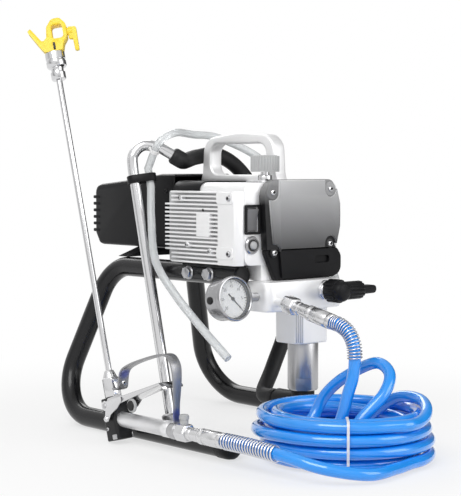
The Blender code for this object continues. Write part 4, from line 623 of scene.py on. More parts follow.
def linked(name: str, data: bpy.types.ID) -> Piece:
    """Put an object in the scene.

    Args:
        name: its name.
        data: its mesh, curve, lamp or camera.

    Returns:
        The object.
    """
    made = bpy.data.objects.new(name, data)
    bpy.context.scene.collection.objects.link(made)
    return made


def dressed(name: str, data: bpy.types.ID, finish: Finish, body: Body,
            replaces: tuple[str, ...] = ()) -> Piece:
    """Give mesh or curve data its finish and body.

    Args:
        name: the piece's name.
        data: its mesh or curve.
        finish: how it looks.
        body: what it rides on.
        replaces: the part's nodes that it stands for.

    Returns:
        The piece.
    """
    piece = linked(name, data)
    data.materials.clear()
    data.materials.append(finish.material())
    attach(piece, body.value)
    if replaces:
        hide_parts(*replaces)
    LOG.info("%s in %s on %s", name, finish.name, body.value)
    return piece


def shaded(data: bpy.types.Mesh, degrees: float) -> bpy.types.Mesh:
    """Shade a mesh smooth up to an angle.

    Args:
        data: the mesh.
        degrees: the least turn that stays sharp.

    Returns:
        The mesh itself.
    """
    data.shade_smooth()
    data.set_sharp_from_angle(angle=math.radians(degrees))
    return data


def soften(form: bmesh.types.BMesh, width: float, segments: int = 3, degrees: float = 40.0) -> None:
    """Round the edges of a form that turn sharply.

    Args:
        form: the bmesh.
        width: how far the rounding reaches.
        segments: pieces across it.
        degrees: the least turn that counts as sharp.
    """
    bmesh.ops.recalc_face_normals(form, faces=form.faces[:])
    form.normal_update()
    sharp = [edge for edge in form.edges
             if len(edge.link_faces) == 2 and edge.calc_face_angle() > math.radians(degrees)]
    bmesh.ops.bevel(form, geom=sharp, offset=width, offset_type="OFFSET", segments=segments, profile=0.5,
                    affect="EDGES", clamp_overlap=True, material=-1)


class Shape:
    """A mesh in the making: forms made by bmesh operators, each set in place as it is added."""

    def __init__(self) -> None:
        """Start with nothing."""
        self.bm = bmesh.new()

    def take(self, form: bmesh.types.BMesh, place: Matrix) -> "Shape":
        """Set a form in place and add it.

        Args:
            form: the bmesh, which is used up.
            place: where it goes.

        Returns:
            The shape itself.
        """
        bmesh.ops.remove_doubles(form, verts=form.verts[:], dist=1e-6)
        bmesh.ops.recalc_face_normals(form, faces=form.faces[:])
        bmesh.ops.transform(form, matrix=place, verts=form.verts[:])
        carried = bpy.data.meshes.new("form")
        form.to_mesh(carried)
        form.free()
        self.bm.from_mesh(carried)
        bpy.data.meshes.remove(carried)
        return self

    def spin(self, profile: Profile, place: Matrix, steps: int = 48) -> "Shape":
        """Turn a profile about local Z.

        Args:
            profile: (radius, height) points, from the axis and back to it, or a closed ring off it.
            place: where the turned form goes.
            steps: pieces round the axis.

        Returns:
            The shape itself.
        """
        form = bmesh.new()
        verts = [form.verts.new((radius, 0.0, height)) for radius, height in profile]
        edges = [form.edges.new(pair) for pair in zip(verts, verts[1:])]
        if profile[0][0] > 1e-9:
            edges.append(form.edges.new((verts[-1], verts[0])))
        bmesh.ops.spin(form, geom=verts + edges, cent=(0, 0, 0), axis=(0, 0, 1), angle=math.tau, steps=steps,
                       use_merge=True, use_duplicate=False)
        return self.take(form, place)

    def prism(self, outline: Profile, depth: float, place: Matrix, soft: float = 0.0, segments: int = 3,
              holes: tuple[Profile, ...] = ()) -> "Shape":
        """Extrude an outline along local Z.

        Args:
            outline: points in local X and Y.
            depth: how far it grows.
            place: where it goes.
            soft: rounding of its sharp edges.
            segments: pieces across the rounding.
            holes: outlines that are left open.

        Returns:
            The shape itself.
        """
        form = bmesh.new()
        loops = []
        for points in (outline, *holes):
            verts = [form.verts.new((a, b, 0.0)) for a, b in points]
            loops += [form.edges.new(pair) for pair in zip(verts, verts[1:] + verts[:1])]
        if holes:
            bmesh.ops.triangle_fill(form, edges=loops, use_beauty=True)
        else:
            form.faces.new(form.verts[:])
        pulled = bmesh.ops.extrude_face_region(form, geom=form.faces[:])
        raised = [item for item in pulled["geom"] if isinstance(item, bmesh.types.BMVert)]
        bmesh.ops.translate(form, verts=raised, vec=(0.0, 0.0, depth))
        if soft > 0:
            soften(form, soft, segments)
        return self.take(form, place)

    def box(self, size: Triple, place: Matrix, soft: float = 0.0005) -> "Shape":
        """Add a block with soft edges about a place.

        Args:
            size: its sides.
            place: its middle.
            soft: rounding of its edges.

        Returns:
            The shape itself.
        """
        form = bmesh.new()
        bmesh.ops.create_cube(form, size=1.0, matrix=Matrix.Diagonal((*size, 1.0)))
        soften(form, soft, 2)
        return self.take(form, place)

    def ball(self, radius: float, place: Matrix) -> "Shape":
        """Add a ball about a place.

        Args:
            radius: its radius.
            place: its middle.

        Returns:
            The shape itself.
        """
        form = bmesh.new()
        bmesh.ops.create_uvsphere(form, u_segments=24, v_segments=14, radius=radius)
        return self.take(form, place)

    def words(self, text: str, size: float, place: Matrix) -> "Shape":
        """Add flat figures, centred on a place.

        Args:
            text: the figures.
            size: their height.
            place: their middle, with local Z towards the reader.

        Returns:
            The shape itself.
        """
        line = bpy.data.curves.new("figures", "FONT")
        line.body = text
        line.size = size
        line.extrude = 0.00004
        line.align_x = "CENTER"
        line.align_y = "CENTER"
        holder = linked("figures", line)
        bpy.context.view_layer.update()
        data = bpy.data.meshes.new_from_object(holder.evaluated_get(bpy.context.evaluated_depsgraph_get()))
        bpy.data.objects.remove(holder, do_unlink=True)
        form = bmesh.new()
        form.from_mesh(data)
        return self.take(form, place)

    def piece(self, name: str, finish: Finish, body: Body = Body.MACHINE, replaces: tuple[str, ...] = (),
              smooth: float = 35.0) -> Piece:
        """Finish the shape as a piece.

        Args:
            name: the piece's name.
            finish: how it looks.
            body: what it rides on.
            replaces: the part's nodes that it stands for.
            smooth: the turn up to which it is shaded smooth.

        Returns:
            The piece.
        """
        data = bpy.data.meshes.new(name)
        self.bm.to_mesh(data)
        self.bm.free()
        return dressed(name, shaded(data, smooth), finish, body, replaces)


def restyle(node: str, finish: Finish, soft: float = 0.0, body: Body = Body.MACHINE, smooth: float = 35.0,
            widen: float = 1.0) -> Piece:
    """Stand in for a node by its own form, merged, softened and smooth.

    Args:
        node: the part's node.
        finish: how it looks.
        soft: rounding of its sharp edges.
        body: what it rides on.
        smooth: the turn up to which it is shaded smooth.
        widen: how much wider it is made about its middle.

    Returns:
        The piece.
    """
    form = bmesh.new()
    form.from_mesh(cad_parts[node].data)
    bmesh.ops.remove_doubles(form, verts=form.verts[:], dist=2e-6)
    bmesh.ops.dissolve_limit(form, angle_limit=math.radians(0.6), verts=form.verts[:], edges=form.edges[:])
    low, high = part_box(node)
    middle = Matrix.Translation((-(low[0] + high[0]) / 2, 0, 0))
    bmesh.ops.scale(form, vec=(widen, 1, 1), space=middle, verts=form.verts[:])
    if soft > 0:
        soften(form, soft, 2)
    name = f"{node}_dressed"
    data = bpy.data.meshes.new(name)
    form.to_mesh(data)
    form.free()
    old = data.attributes.get("custom_normal")
    if old:
        data.attributes.remove(old)
    return dressed(name, shaded(data, smooth), finish, body, (node,))


def dress_node(node: str, finish: Finish) -> None:
    """Give a node that keeps its own form a finish.

    Args:
        node: the part's node.
        finish: how it looks.
    """
    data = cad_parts[node].data
    data.materials.clear()
    data.materials.append(finish.material())
    LOG.info("%s keeps its form, in %s", node, finish.name)


def tube(name: str, route: Route, radius: float, finish: Finish, replaces: tuple[str, ...] = (),
         sides: int = 8) -> Piece:
    """Add a round tube along a route.

    Args:
        name: the piece's name.
        route: its middle line, in the part's frame.
        radius: its radius.
        finish: how it looks.
        replaces: the part's nodes that it stands for.
        sides: the curve's bevel resolution.

    Returns:
        The piece, which is a curve of one open spline.
    """
    data = bpy.data.curves.new(name, "CURVE")
    data.dimensions = "3D"
    data.bevel_depth = radius
    data.bevel_resolution = sides
    data.use_fill_caps = True
    data.twist_mode = "MINIMUM"
    spline = data.splines.new("POLY")
    spline.points.add(len(route) - 1)
    for spot, point in zip(spline.points, route):
        spot.co = (*point, 1.0)
    return dressed(name, data, finish, Body.MACHINE, replaces)


def screw(spot: Vector, out: Vector, radius: float, name: str, finish: Finish = CHROME) -> Piece:
    """Add a domed screw with a hexagon socket.

    Args:
        spot: the middle of its seat.
        out: the way its head looks.
        radius: its head's radius.
        name: the piece's name.
        finish: how it looks.

    Returns:
        The piece.
    """
    place = seat(spot, out)
    rise = radius * 0.62
    floor = rise * 0.3
    socket = along_axes(place, 0, 0, floor - rise * 0.1)
    Shape().prism(hexagon(radius * 0.42), rise * 0.25, socket).piece(f"{name}_socket", INK)
    head = [(0.0, floor), (radius * 0.50, floor), (radius * 0.54, rise), (radius * 0.74, rise * 0.95),
            (radius * 0.94, rise * 0.6), (radius, 0.0), (0.0, -0.0002)]
    return Shape().spin(head, place, 36).piece(name, finish)


# Studio

@dataclass
class Studio:
    """Floor, soft light and the camera at the photograph's place."""

    eye: Triple = (-1.16953, -1.35220, 0.33293)
    yaw: float = 41.983
    pitch: float = 3.247
    lens: float = 101.659
    target: Triple = (0.0, 0.0, 0.2)
    floor_r: float = 4.0
    floor_z: float = -0.0002
    floor_colour: Triple = (0.88, 0.88, 0.88)
    floor_fade: Flat = (0.25, 0.75)
    floor_white: float = 0.66
    ambient: float = 0.42
    dim: float = 0.10

    def build(self) -> None:
        """Set up the floor, world, lamps and camera."""
        bpy.context.scene.view_settings.view_transform = "Standard"
        self.camera()
        self.floor()
        self.world()
        self.lamp("key_light", (-1.5, -0.9, 1.7), 1.3, 26.0)
        self.lamp("fill_light", (0.7, -1.9, 0.9), 1.2, 11.0)
        self.lamp("rim_light", (0.6, 1.5, 1.5), 1.2, 14.0)

    def camera(self) -> None:
        """Place the camera."""
        data = bpy.data.cameras.new("photo_camera")
        data.lens = self.lens
        data.sensor_width = 36.0
        data.clip_end = 60.0
        yaw, pitch = math.radians(self.yaw), math.radians(self.pitch)
        look = Vector((math.sin(yaw) * math.cos(pitch), math.cos(yaw) * math.cos(pitch), -math.sin(pitch)))
        made = linked("photo_camera", data)
        made.location = self.eye
        made.rotation_euler = look.to_track_quat("-Z", "Y").to_euler()
        bpy.context.scene.camera = made

    def lamp(self, name: str, spot: Triple, size: float, power: float) -> None:
        """Hang one soft lamp that looks at the machine.

        Args:
            name: its name.
            spot: where it hangs.
            size: its side.
            power: its power in watts.
        """
        data = bpy.data.lights.new(name, "AREA")
        data.shape = "SQUARE"
        data.size = size
        data.energy = power
        made = linked(name, data)
        made.location = spot
        aim = Vector(self.target) - Vector(spot)
        made.rotation_euler = aim.to_track_quat("-Z", "Y").to_euler()

    def floor(self) -> None:
        """Lay the pale floor, which keeps the shadow and fades to white far off."""
        bm = bmesh.new()
        bmesh.ops.create_circle(bm, cap_ends=True, radius=self.floor_r, segments=96,
                                matrix=Matrix.Translation((0, 0, self.floor_z)))
        data = bpy.data.meshes.new("floor")
        bm.to_mesh(data)
        bm.free()
        made = bpy.data.materials.new("floor_pale")
        made.use_nodes = True
        tree = made.node_tree
        tree.nodes.remove(tree.nodes["Principled BSDF"])
        lit = tree.nodes.new("ShaderNodeBsdfDiffuse")
        lit.inputs["Color"].default_value = (*self.floor_colour, 1.0)
        white = tree.nodes.new("ShaderNodeEmission")
        path = tree.nodes.new("ShaderNodeLightPath")
        spots = tree.nodes.new("ShaderNodeTexCoord")
        away = tree.nodes.new("ShaderNodeVectorMath")
        away.operation = "LENGTH"
        tree.links.new(spots.outputs["Object"], away.inputs[0])
        fade = ranged(tree, away.outputs["Value"], self.floor_fade, (self.floor_white, 1.0), True)
        seen = self.seen(tree, path, ("Is Camera Ray", "Is Glossy Ray", "Is Transmission Ray"))
        mix = blended(tree, joined(tree, "MULTIPLY", seen, fade), lit.outputs["BSDF"],
                      white.outputs["Emission"])
        tree.links.new(mix, tree.nodes["Material Output"].inputs["Surface"])
        data.materials.append(made)
        linked("floor", data)

    def seen(self, tree: Tree, path: bpy.types.Node, rays: tuple[str, ...]) -> Socket:
        """Tell whether a ray is of any of several kinds.

        Args:
            tree: the nodes.
            path: the light path node.
            rays: its outputs that count.

        Returns:
            1 for such a ray, and 0 otherwise.
        """
        found = path.outputs[rays[0]]
        for ray in rays[1:]:
            found = joined(tree, "MAXIMUM", found, path.outputs[ray])
        return found

    def world(self) -> None:
        """Light the room evenly, with a white background and a studio's soft panels in the reflections."""
        world = bpy.data.worlds.new("studio")
        bpy.context.scene.world = world
        world.use_nodes = True
        tree = world.node_tree
        tree.nodes.clear()
        path = tree.nodes.new("ShaderNodeLightPath")
        grounds = []
        for strength in (self.ambient, 1.0, 1.0):
            ground = tree.nodes.new("ShaderNodeBackground")
            ground.inputs["Color"].default_value = (1.0, 1.0, 1.0, 1.0)
            ground.inputs["Strength"].default_value = strength
            grounds.append(ground)
        tree.links.new(self.panels(tree), grounds[1].inputs["Strength"])
        shader = grounds[0].outputs["Background"]
        kinds = (("Is Glossy Ray",), ("Is Camera Ray", "Is Transmission Ray"))
        for rays, ground in zip(kinds, grounds[1:]):
            shader = blended(tree, self.seen(tree, path, rays), shader, ground.outputs["Background"])
        out = tree.nodes.new("ShaderNodeOutputWorld")
        tree.links.new(shader, out.inputs["Surface"])

    def panels(self, tree: Tree) -> Socket:
        """Make the room that shiny pieces mirror.

        Args:
            tree: the world's nodes.

        Returns:
            How bright the room is in each direction.
        """
        way = tree.nodes.new("ShaderNodeTexCoord").outputs["Generated"]
        base = tree.nodes.new("ShaderNodeValue")
        base.outputs["Value"].default_value = self.dim
        total = base.outputs["Value"]
        for direction, span, strength in (((-0.80, -0.35, 0.50), (0.55, 0.90), 0.85),
                                          ((0.25, -0.95, 0.20), (0.60, 0.92), 0.70),
                                          ((0.0, 0.0, 1.0), (0.45, 0.95), 0.45),
                                          ((-0.1, 1.0, 0.15), (0.20, 0.90), 0.75)):
            facing = tree.nodes.new("ShaderNodeVectorMath")
            facing.operation = "DOT_PRODUCT"
            facing.inputs[1].default_value = Vector(direction).normalized()
            tree.links.new(way, facing.inputs[0])
            panel = ranged(tree, facing.outputs["Value"], span, (0.0, strength), True)
            total = joined(tree, "ADD", panel, total)
        return total


# Sub-assemblies

@dataclass
class SkidFrame:
    """Two bent skid tubes with caps, plugs and bolts, and the carrier between them."""

    tube_r: float = 0.0127
    top_z: float = 0.205
    floor_z: float = 0.0129
    top_half: float = 0.070
    floor_half: float = 0.133
    top_front_y: float = -0.008
    top_rear_y: float = 0.246
    floor_rear_y: float = 0.290
    skid_front_y: float = -0.042
    top_bend: float = 0.045
    floor_bend: float = 0.060
    cap_r: float = 0.0135
    cap_len: float = 0.026
    bolt_y: Flat = (0.038, 0.076)
    bolt_seat: float = 0.0012

    def build(self) -> None:
        """Build both sides and the cross pieces."""
        for side, sign in (("left", -1), ("right", 1)):
            self.side(side, sign)
        restyle("carrier_channel", FRAME_PAINT, 0.0006)
        restyle("motor_support", SHELL, 0.0015)

    def side(self, side: str, sign: int) -> None:
        """Build one skid tube with what it carries.

        Args:
            side: left or right, for the names.
            sign: -1 for the left side and 1 for the right.
        """
        top_x = MID_X + sign * self.top_half
        floor_x = MID_X + sign * self.floor_half
        route = bent_route([(at(top_x, self.top_front_y, self.top_z), 0.0),
                            (at(top_x, self.top_rear_y, self.top_z), self.top_bend),
                            (at(floor_x, self.floor_rear_y, self.floor_z), self.floor_bend),
                            (at(floor_x, self.skid_front_y, self.floor_z), 0.0)])
        tube(f"skid_tube_{side}_painted", route, self.tube_r, FRAME_PAINT, (f"skid_tube_{side}",), 14)
        self.cap(side, floor_x)
        plug = [(0.0, 0.0030), (0.0090, 0.0028), (0.0112, 0.0020), (0.0122, 0.0004), (0.0122, -0.004),
                (0.0, -0.004)]
        Shape().spin(plug, seat(at(top_x, self.top_front_y, self.top_z), AHEAD)).piece(
            f"tube_plug_{side}", PLUG_BLACK)
        for number, y in enumerate(self.bolt_y, 1):
            seat_x = top_x + sign * (self.tube_r - self.bolt_seat)
            self.bolt(f"carrier_bolt_{side}_{number}",
                      seat(at(seat_x, y, self.top_z), Vector((sign, 0, 0)), 12.0))

    def cap(self, side: str, floor_x: float) -> None:
        """Close the skid's front end by a moulded cap with a flat sole.

        Args:
            side: left or right, for the names.
            floor_x: the skid's place across the machine.
        """
        radius, length = self.cap_r, self.cap_len
        profile = [(0.0, length), (radius * 0.45, length - 0.0004), (radius * 0.72, length - 0.0022),
                   (radius * 0.90, length - 0.0052), (radius * 0.98, length - 0.0085),
                   (radius, length - 0.012), (radius, 0.0012), (radius - 0.0008, 0.0), (0.0, 0.0)]
        shape = Shape().spin(profile, seat(at(floor_x, self.skid_front_y - GAP, self.floor_z), AHEAD))
        for vertex in shape.bm.verts:
            vertex.co.z = max(vertex.co.z, GAP)
        shape.piece(f"skid_cap_{side}_moulded", SHELL, replaces=(f"skid_cap_{side}",))

    def bolt(self, node: str, place: Matrix) -> None:
        """Build one flange bolt.

        Args:
            node: the part's bolt that it stands for.
            place: its seat, looking outwards.
        """
        flange = [(0.0, 0.0026), (0.0066, 0.0024), (0.0080, 0.0014), (0.0085, 0.0009), (0.0085, 0.0003),
                  (0.0040, 0.0003), (0.0040, -0.0280), (0.0, -0.0280)]
        shape = Shape().spin(flange, place)
        shape.prism(hexagon(0.0066), 0.0048, along_axes(place, 0, 0, 0.0018), 0.0007)
        shape.piece(f"{node}_flanged", STEEL, replaces=(node,))


@dataclass
class DriveHousing:
    """The cast housing, and the moving parts that it hides."""

    def build(self) -> None:
        """Dress the casting and the drive inside it."""
        restyle("drive_housing", CAST, 0.0014)
        for node, finish in (("motor_stator", COPPER), ("motor_rotor", STEEL), ("cooling_fan", SHELL),
                             ("motor_pinion", STEEL), ("drive_gear", STEEL), ("crank_yoke", STEEL),
                             ("piston_rod", CHROME)):
            dress_node(node, finish)


@dataclass
class ControlSide:
    """The finned control cover, its screws, the rocker switch and the reset button."""

    face_x: float = -0.1383
    left_x: float = -0.126
    front_y: float = -0.024
    housing_y: float = -0.030
    low_z: float = 0.2188
    height: float = 0.087
    fin_floor: float = 0.0075
    fin_start: float = 0.0040
    fin_count: int = 18
    fin_t: float = 0.0022
    short_fins: int = 3
    step_back: float = 0.012
    rear_y: float = 0.102
    pad_y: float = 0.030
    pad_z: float = 0.2650
    pad_size: Flat = (0.024, 0.0275)
    ear_y: float = -0.0180
    ear_rise: float = 0.0018
    ear_z: Flat = (0.2978, 0.2324)
    bosses: tuple[Flat, ...] = ((0.0740, 0.2975), (0.0607, 0.2406), (0.0191, 0.2339))
    sight_hole: Flat = (0.0301, 0.2831)
    switch_x: float = -0.1142
    switch_z: float = 0.2728
    switch_w: float = 0.0250
    switch_h: float = 0.035
    switch_rim: float = 0.0032
    reset_x: float = -0.1145
    reset_z: float = 0.2425
    reset_r: float = 0.0048
    reset_flange: float = 0.0108

    def build(self) -> None:
        """Build the cover, screws, switch and button."""
        self.cover()
        self.corner()
        self.fasteners()
        self.switch()
        self.reset()

    def cover(self) -> None:
        """Build the cover: back plate, flat front, blank pad, and thin fins over a darker plate that paints
        the shade between them.
        """
        floor_x = self.face_x + self.fin_floor
        deep = self.fin_floor + 0.0010
        mid_x = self.face_x + deep / 2
        mid_z = self.low_z + self.height / 2
        plate = rectangle(self.front_y, self.rear_y, self.low_z, self.low_z + self.height, 0.003)
        shape = Shape().prism(plate, self.left_x - GAP - floor_x, moved(floor_x, 0, 0) @ SIDEWAYS, 0.0004, 2)
        flat = (deep, self.fin_start - self.front_y, self.height - 0.0004)
        shape.box(flat, moved(mid_x, (self.fin_start + self.front_y) / 2, mid_z), 0.0006)
        shape.box((deep, *self.pad_size), moved(mid_x - 0.0008, self.pad_y, self.pad_z), 0.0006)
        for index in range(self.fin_count):
            short = min(index, self.fin_count - 1 - index) < self.short_fins
            end = self.rear_y - (self.step_back if short else 0.0)
            z = self.low_z + self.fin_t / 2 + index * (self.height - self.fin_t) / (self.fin_count - 1)
            length = end - self.fin_start + 0.0010
            shape.box((deep, length, self.fin_t), moved(mid_x, end - length / 2, z), 0.0004)
        shape.piece("control_cover_finned", CAST, replaces=("control_cover",))
        # A darker plate on the fin floor: painted shade in the gaps.
        shade = (0.0008, self.rear_y - self.fin_start - 0.0006, self.height - 0.0030)
        Shape().box(shade, moved(floor_x, (self.rear_y + self.fin_start) / 2, mid_z), 0.0002).piece(
            "fin_floor", CAST_PAINTED_SHADE)

    def corner(self) -> None:
        """Carry the flat front of the cover round the corner to the housing's front."""
        proud, inner_x = self.face_x - 0.0004, self.left_x - GAP
        outline = [(self.face_x + 0.0004, self.front_y - GAP), (self.face_x + 0.0004, 0.0030),
                   (proud, 0.0030)]
        reach_x, reach_y = inner_x - proud, self.front_y - self.housing_y
        for step in range(13):
            angle = math.radians(90 * step / 12)
            outline.append((inner_x - reach_x * math.cos(angle), self.front_y - reach_y * math.sin(angle)))
        outline.append((inner_x, self.front_y - GAP))
        Shape().prism(outline, self.height + 0.0006, moved(0, 0, self.low_z - 0.0003), 0.0003, 2).piece(
            "corner_casting", CAST)

    def fasteners(self) -> None:
        """Set the screws, their bosses and the small hole."""
        for number, z in enumerate(self.ear_z, 1):
            ear = rectangle(self.front_y - 0.0002, self.fin_start + 0.0006, z - 0.0066, z + 0.0074, 0.0035)
            ear_x = self.face_x - self.ear_rise
            Shape().prism(ear, 0.0020, moved(ear_x, 0, 0) @ SIDEWAYS, 0.0006, 2).piece(
                f"ear_pad_{number}", CAST)
            screw(at(ear_x, self.ear_y, z), LEFT, 0.0037, f"ear_screw_{number}", STEEL)
        for number, (y, z) in enumerate(self.bosses, 1):
            floor = at(self.face_x + self.fin_floor, y, z)
            boss = [(0.0, self.fin_floor), (0.0030, self.fin_floor), (0.0035, self.fin_floor - 0.0006),
                    (0.0039, 0.0), (0.0, 0.0)]
            Shape().spin(boss, seat(floor, LEFT), 32).piece(f"fin_boss_{number}", CAST)
            screw(at(self.face_x, y, z), LEFT, 0.0024, f"fin_screw_{number}", STEEL)
        y, z = self.sight_hole
        ring = [(0.0, 0.0004), (0.0016, 0.0004), (0.0017, 0.0001), (0.0017, -0.0006), (0.0, -0.0006)]
        Shape().spin(ring, seat(at(self.face_x, y, z), LEFT), 24).piece("sight_hole", INK)

    def switch(self) -> None:
        """Build the rocker switch's bezel and dress the rocker."""
        half_w, half_h, rim = self.switch_w / 2, self.switch_h / 2, self.switch_rim
        outer = rectangle(-half_w, half_w, -half_h, half_h, 0.0022)
        inner = rectangle(-half_w + rim, half_w - rim, -half_h + rim, half_h - rim, 0.0004)
        place = moved(self.switch_x, self.housing_y - GAP, self.switch_z) @ FRONTWARDS
        Shape().prism(outer, 0.0026, place, 0.0006, 2, (inner,)).piece(
            "switch_frame", SHELL, replaces=("switch_bezel",))
        restyle("switch_rocker", ROCKER_GREY, 0.0005, Body.ROCKER, widen=1.26)

    def reset(self) -> None:
        """Build the reset button and its bush."""
        place = seat(at(self.reset_x, self.housing_y - GAP, self.reset_z), AHEAD)
        hole = self.reset_r + GAP
        wide = self.reset_flange
        bush = [(hole, 0.0018), (wide * 0.72, 0.0018), (wide * 0.76, 0.0028), (wide * 0.90, 0.0028),
                (wide, 0.0016), (wide, 0.0), (hole, 0.0)]
        Shape().spin(bush, place).piece("reset_ring", GAUGE_STEEL, replaces=("reset_bush",))
        collar = [(hole, 0.0026), (wide * 0.56, 0.0026), (wide * 0.66, 0.0022), (wide * 0.66, 0.0010),
                  (hole, 0.0010)]
        Shape().spin(collar, place).piece("reset_collar", INK)
        top, r = 0.0057, self.reset_r
        button = [(0.0, top + 0.0003), (r * 0.55, top + 0.0001), (r * 0.85, top - 0.0005), (r, top - 0.0016),
                  (r, top - 0.0108), (0.0, top - 0.0108)]
        Shape().spin(button, place, 32).piece("reset_cap", KNOB_GREY, Body.RESET, ("reset_button",))


@dataclass
class FrontCover:
    """The front cover with its raised panel, and the access cover under it."""

    back_y: float = -0.0303
    depth: float = 0.010
    top_z: float = 0.320
    split_z: float = 0.2365
    foot_z: float = 0.1996
    left_x: float = -0.103
    elbow: Flat = (-0.0985, 0.2320)
    foot_left_x: float = -0.083
    lobe_x: float = 0.0160
    wide_x: float = 0.028
    panel_rise: float = 0.0024
    panel_left: Flat = (-0.0895, -0.0955)
    rim_wide: float = 0.0009
    rim_drop: float = 0.0008
    panel_right: float = 0.0222
    mid_z: float = 0.275
    # Lands right of this line take the lighter finish: a painted reflection.
    painted_bright_side_x: float = -0.02
    panel_low: float = 0.2378
    panel_high: float = 0.3182
    notch_r: float = 0.0105
    bow: tuple[Flat, ...] = ((0.0009, 0.290), (0.0013, 0.277), (0.0010, 0.262))
    recess: Flat = (-0.0070, 0.2225)
    land_r: Flat = (0.0092, 0.0060)
    screw_r: float = 0.0036
    screws: tuple[Flat, ...] = ((-0.0905, 0.3047), (0.0072, 0.3080), (0.0070, 0.2410), (-0.0880, 0.2330))

    def build(self) -> None:
        """Build both covers and their screws."""
        back = moved(0, self.back_y, 0) @ FRONTWARDS
        outline = self.outline()
        # The shell and the panel pale towards their tops: a painted reflection.
        Shape().prism(clipped(outline, self.split_z, True), self.depth, back, 0.0024, 4).piece(
            "front_cover_shell", COVER_SHELL_PAINTED_REFLECTION, replaces=("front_cover",))
        panel, rise = self.panel(), self.depth + self.panel_rise
        Shape().prism(panel, rise, back, 0.0013, 4).piece("front_panel", COVER_FACE_PAINTED_REFLECTION)
        # The rim is a light line round the panel: a painted highlight.
        Shape().prism(grown(panel, self.rim_wide), rise - self.rim_drop, back, 0.0004, 2).piece(
            "panel_rim_painted_highlight", RIM_PAINTED_HIGHLIGHT)
        self.access(clipped(outline, self.split_z - GAP, False), back)
        for number, (x, z) in enumerate(self.screws, 1):
            wide = self.land_r[0 if z > self.mid_z else 1]
            self.fastener(number, at(x, self.back_y - self.depth, z), wide)

    def outline(self) -> Profile:
        """Outline both covers together: bent left edge, round top and a lower bulge.

        Returns:
            The outline's points.
        """
        return rounded([(self.foot_left_x, self.foot_z, 0.004), (self.wide_x, self.foot_z, 0.014),
                        (self.wide_x, self.split_z - 0.003, 0.011),
                        (self.lobe_x, self.split_z + 0.001, 0.004), (self.lobe_x, self.top_z, 0.012),
                        (self.left_x + 0.006, self.top_z, 0.020), (self.left_x, self.top_z - 0.020, 0.012),
                        (*self.elbow, 0.014)])

    def panel(self) -> Profile:
        """Outline the raised panel, notched round the screws and bowed at its sides.

        Returns:
            The outline's points.
        """
        high, low, right = self.panel_high, self.panel_low, self.panel_right
        edges = ((self.panel_left[1], high, 1, 1), (right, high, -1, 1), (right, low, -1, -1),
                 (self.panel_left[0], low, 1, -1))
        outline = []
        for (x, z), (side, end, flip_x, flip_z) in zip(self.screws, edges):
            first = math.acos(max(-1.0, (side - x) * flip_x / self.notch_r))
            turns = [-first + first * step / 10 for step in range(11)]
            notch = [(x + flip_x * self.notch_r * math.cos(turn), z + flip_z * self.notch_r * math.sin(turn))
                     for turn in turns]
            notch.append((notch[-1][0], end))
            outline += notch if flip_x * flip_z > 0 else notch[::-1]
            if flip_x < 0 and flip_z > 0:
                outline += [(right + out, height) for out, height in self.bow]
        return outline

    def access(self, outline: Profile, back: Matrix) -> None:
        """Build the access cover with its raised face and finger recess.

        Args:
            outline: its outline.
            back: where its rear face lies.
        """
        x, z = self.recess
        grip = rectangle(x - 0.0125, x + 0.0125, z - 0.0045, z + 0.0045, 0.0035)
        face = rounded([(-0.0745, self.foot_z + 0.002, 0.003),
                        (self.wide_x - 0.002, self.foot_z + 0.002, 0.012),
                        (self.wide_x - 0.002, self.split_z - 0.006, 0.010),
                        (0.0120, self.split_z - 0.0015, 0.004), (-0.0790, self.split_z - 0.0015, 0.003),
                        (-0.0770, self.split_z - 0.014, 0.006)])
        shape = Shape().prism(outline, self.depth - 0.0022, back, 0.0016, 3)
        shape.prism(face, self.depth, along_axes(back, 0, 0, 0.001), 0.0020, 4, (grip,))
        shape.piece("access_cover_moulded", COVER_LOWER, replaces=("access_cover",))

    def fastener(self, number: int, spot: Vector, wide: float) -> None:
        """Set one bright screw on its round land.

        Args:
            number: its number.
            spot: its middle on the cover's face.
            wide: the land's radius.
        """
        land = [(0.0, 0.0008), (wide - 0.0010, 0.0008), (wide - 0.0002, 0.0002), (wide, -0.0030),
                (0.0, -0.0030)]
        # Lands on the right take the lighter finish, a painted reflection; those on the left the darker one.
        Shape().spin(land, seat(spot, AHEAD)).piece(
            f"screw_land_{number}", COVER_LAND_PAINTED_REFLECTION if spot.x < self.painted_bright_side_x else LAND_PAINTED_BRIGHT_SIDE)
        screw(spot + AHEAD * 0.0008, AHEAD, self.screw_r, f"cover_screw_{number}")


@dataclass
class CarryHandle:
    """The cast loop handle on top."""

    thick: float = 0.020
    rear_y: float = 0.134
    front_y: float = -0.002
    base_z: float = 0.3163
    top_z: float = 0.378
    post: float = 0.017
    bar: float = 0.014
    foot: float = 0.009
    corner: float = 0.022

    def build(self) -> None:
        """Build the loop."""
        base = self.base_z
        flare, rise = 0.004, 0.011
        outer = rounded([(self.rear_y + flare, base, 0), (self.front_y - flare, base, 0),
                         (self.front_y, base + rise, 0.012),
                         (self.front_y + 0.003, self.top_z - 0.004, self.corner),
                         ((self.front_y + self.rear_y) / 2, self.top_z + 0.001, 0.150),
                         (self.rear_y - 0.003, self.top_z - 0.007, self.corner),
                         (self.rear_y, base + rise, 0.012)])
        outer = [(y, max(z, base)) for y, z in outer]
        inner = rectangle(self.front_y + self.post, self.rear_y - self.post, base + self.foot,
                          self.top_z - self.bar, self.corner - self.post / 2)
        place = moved(MID_X - self.thick / 2, 0, 0) @ SIDEWAYS
        Shape().prism(outer, self.thick, place, 0.0034, 4, (inner,)).piece(
            "carry_handle_cast", CAST, replaces=("carry_handle",), smooth=50.0)


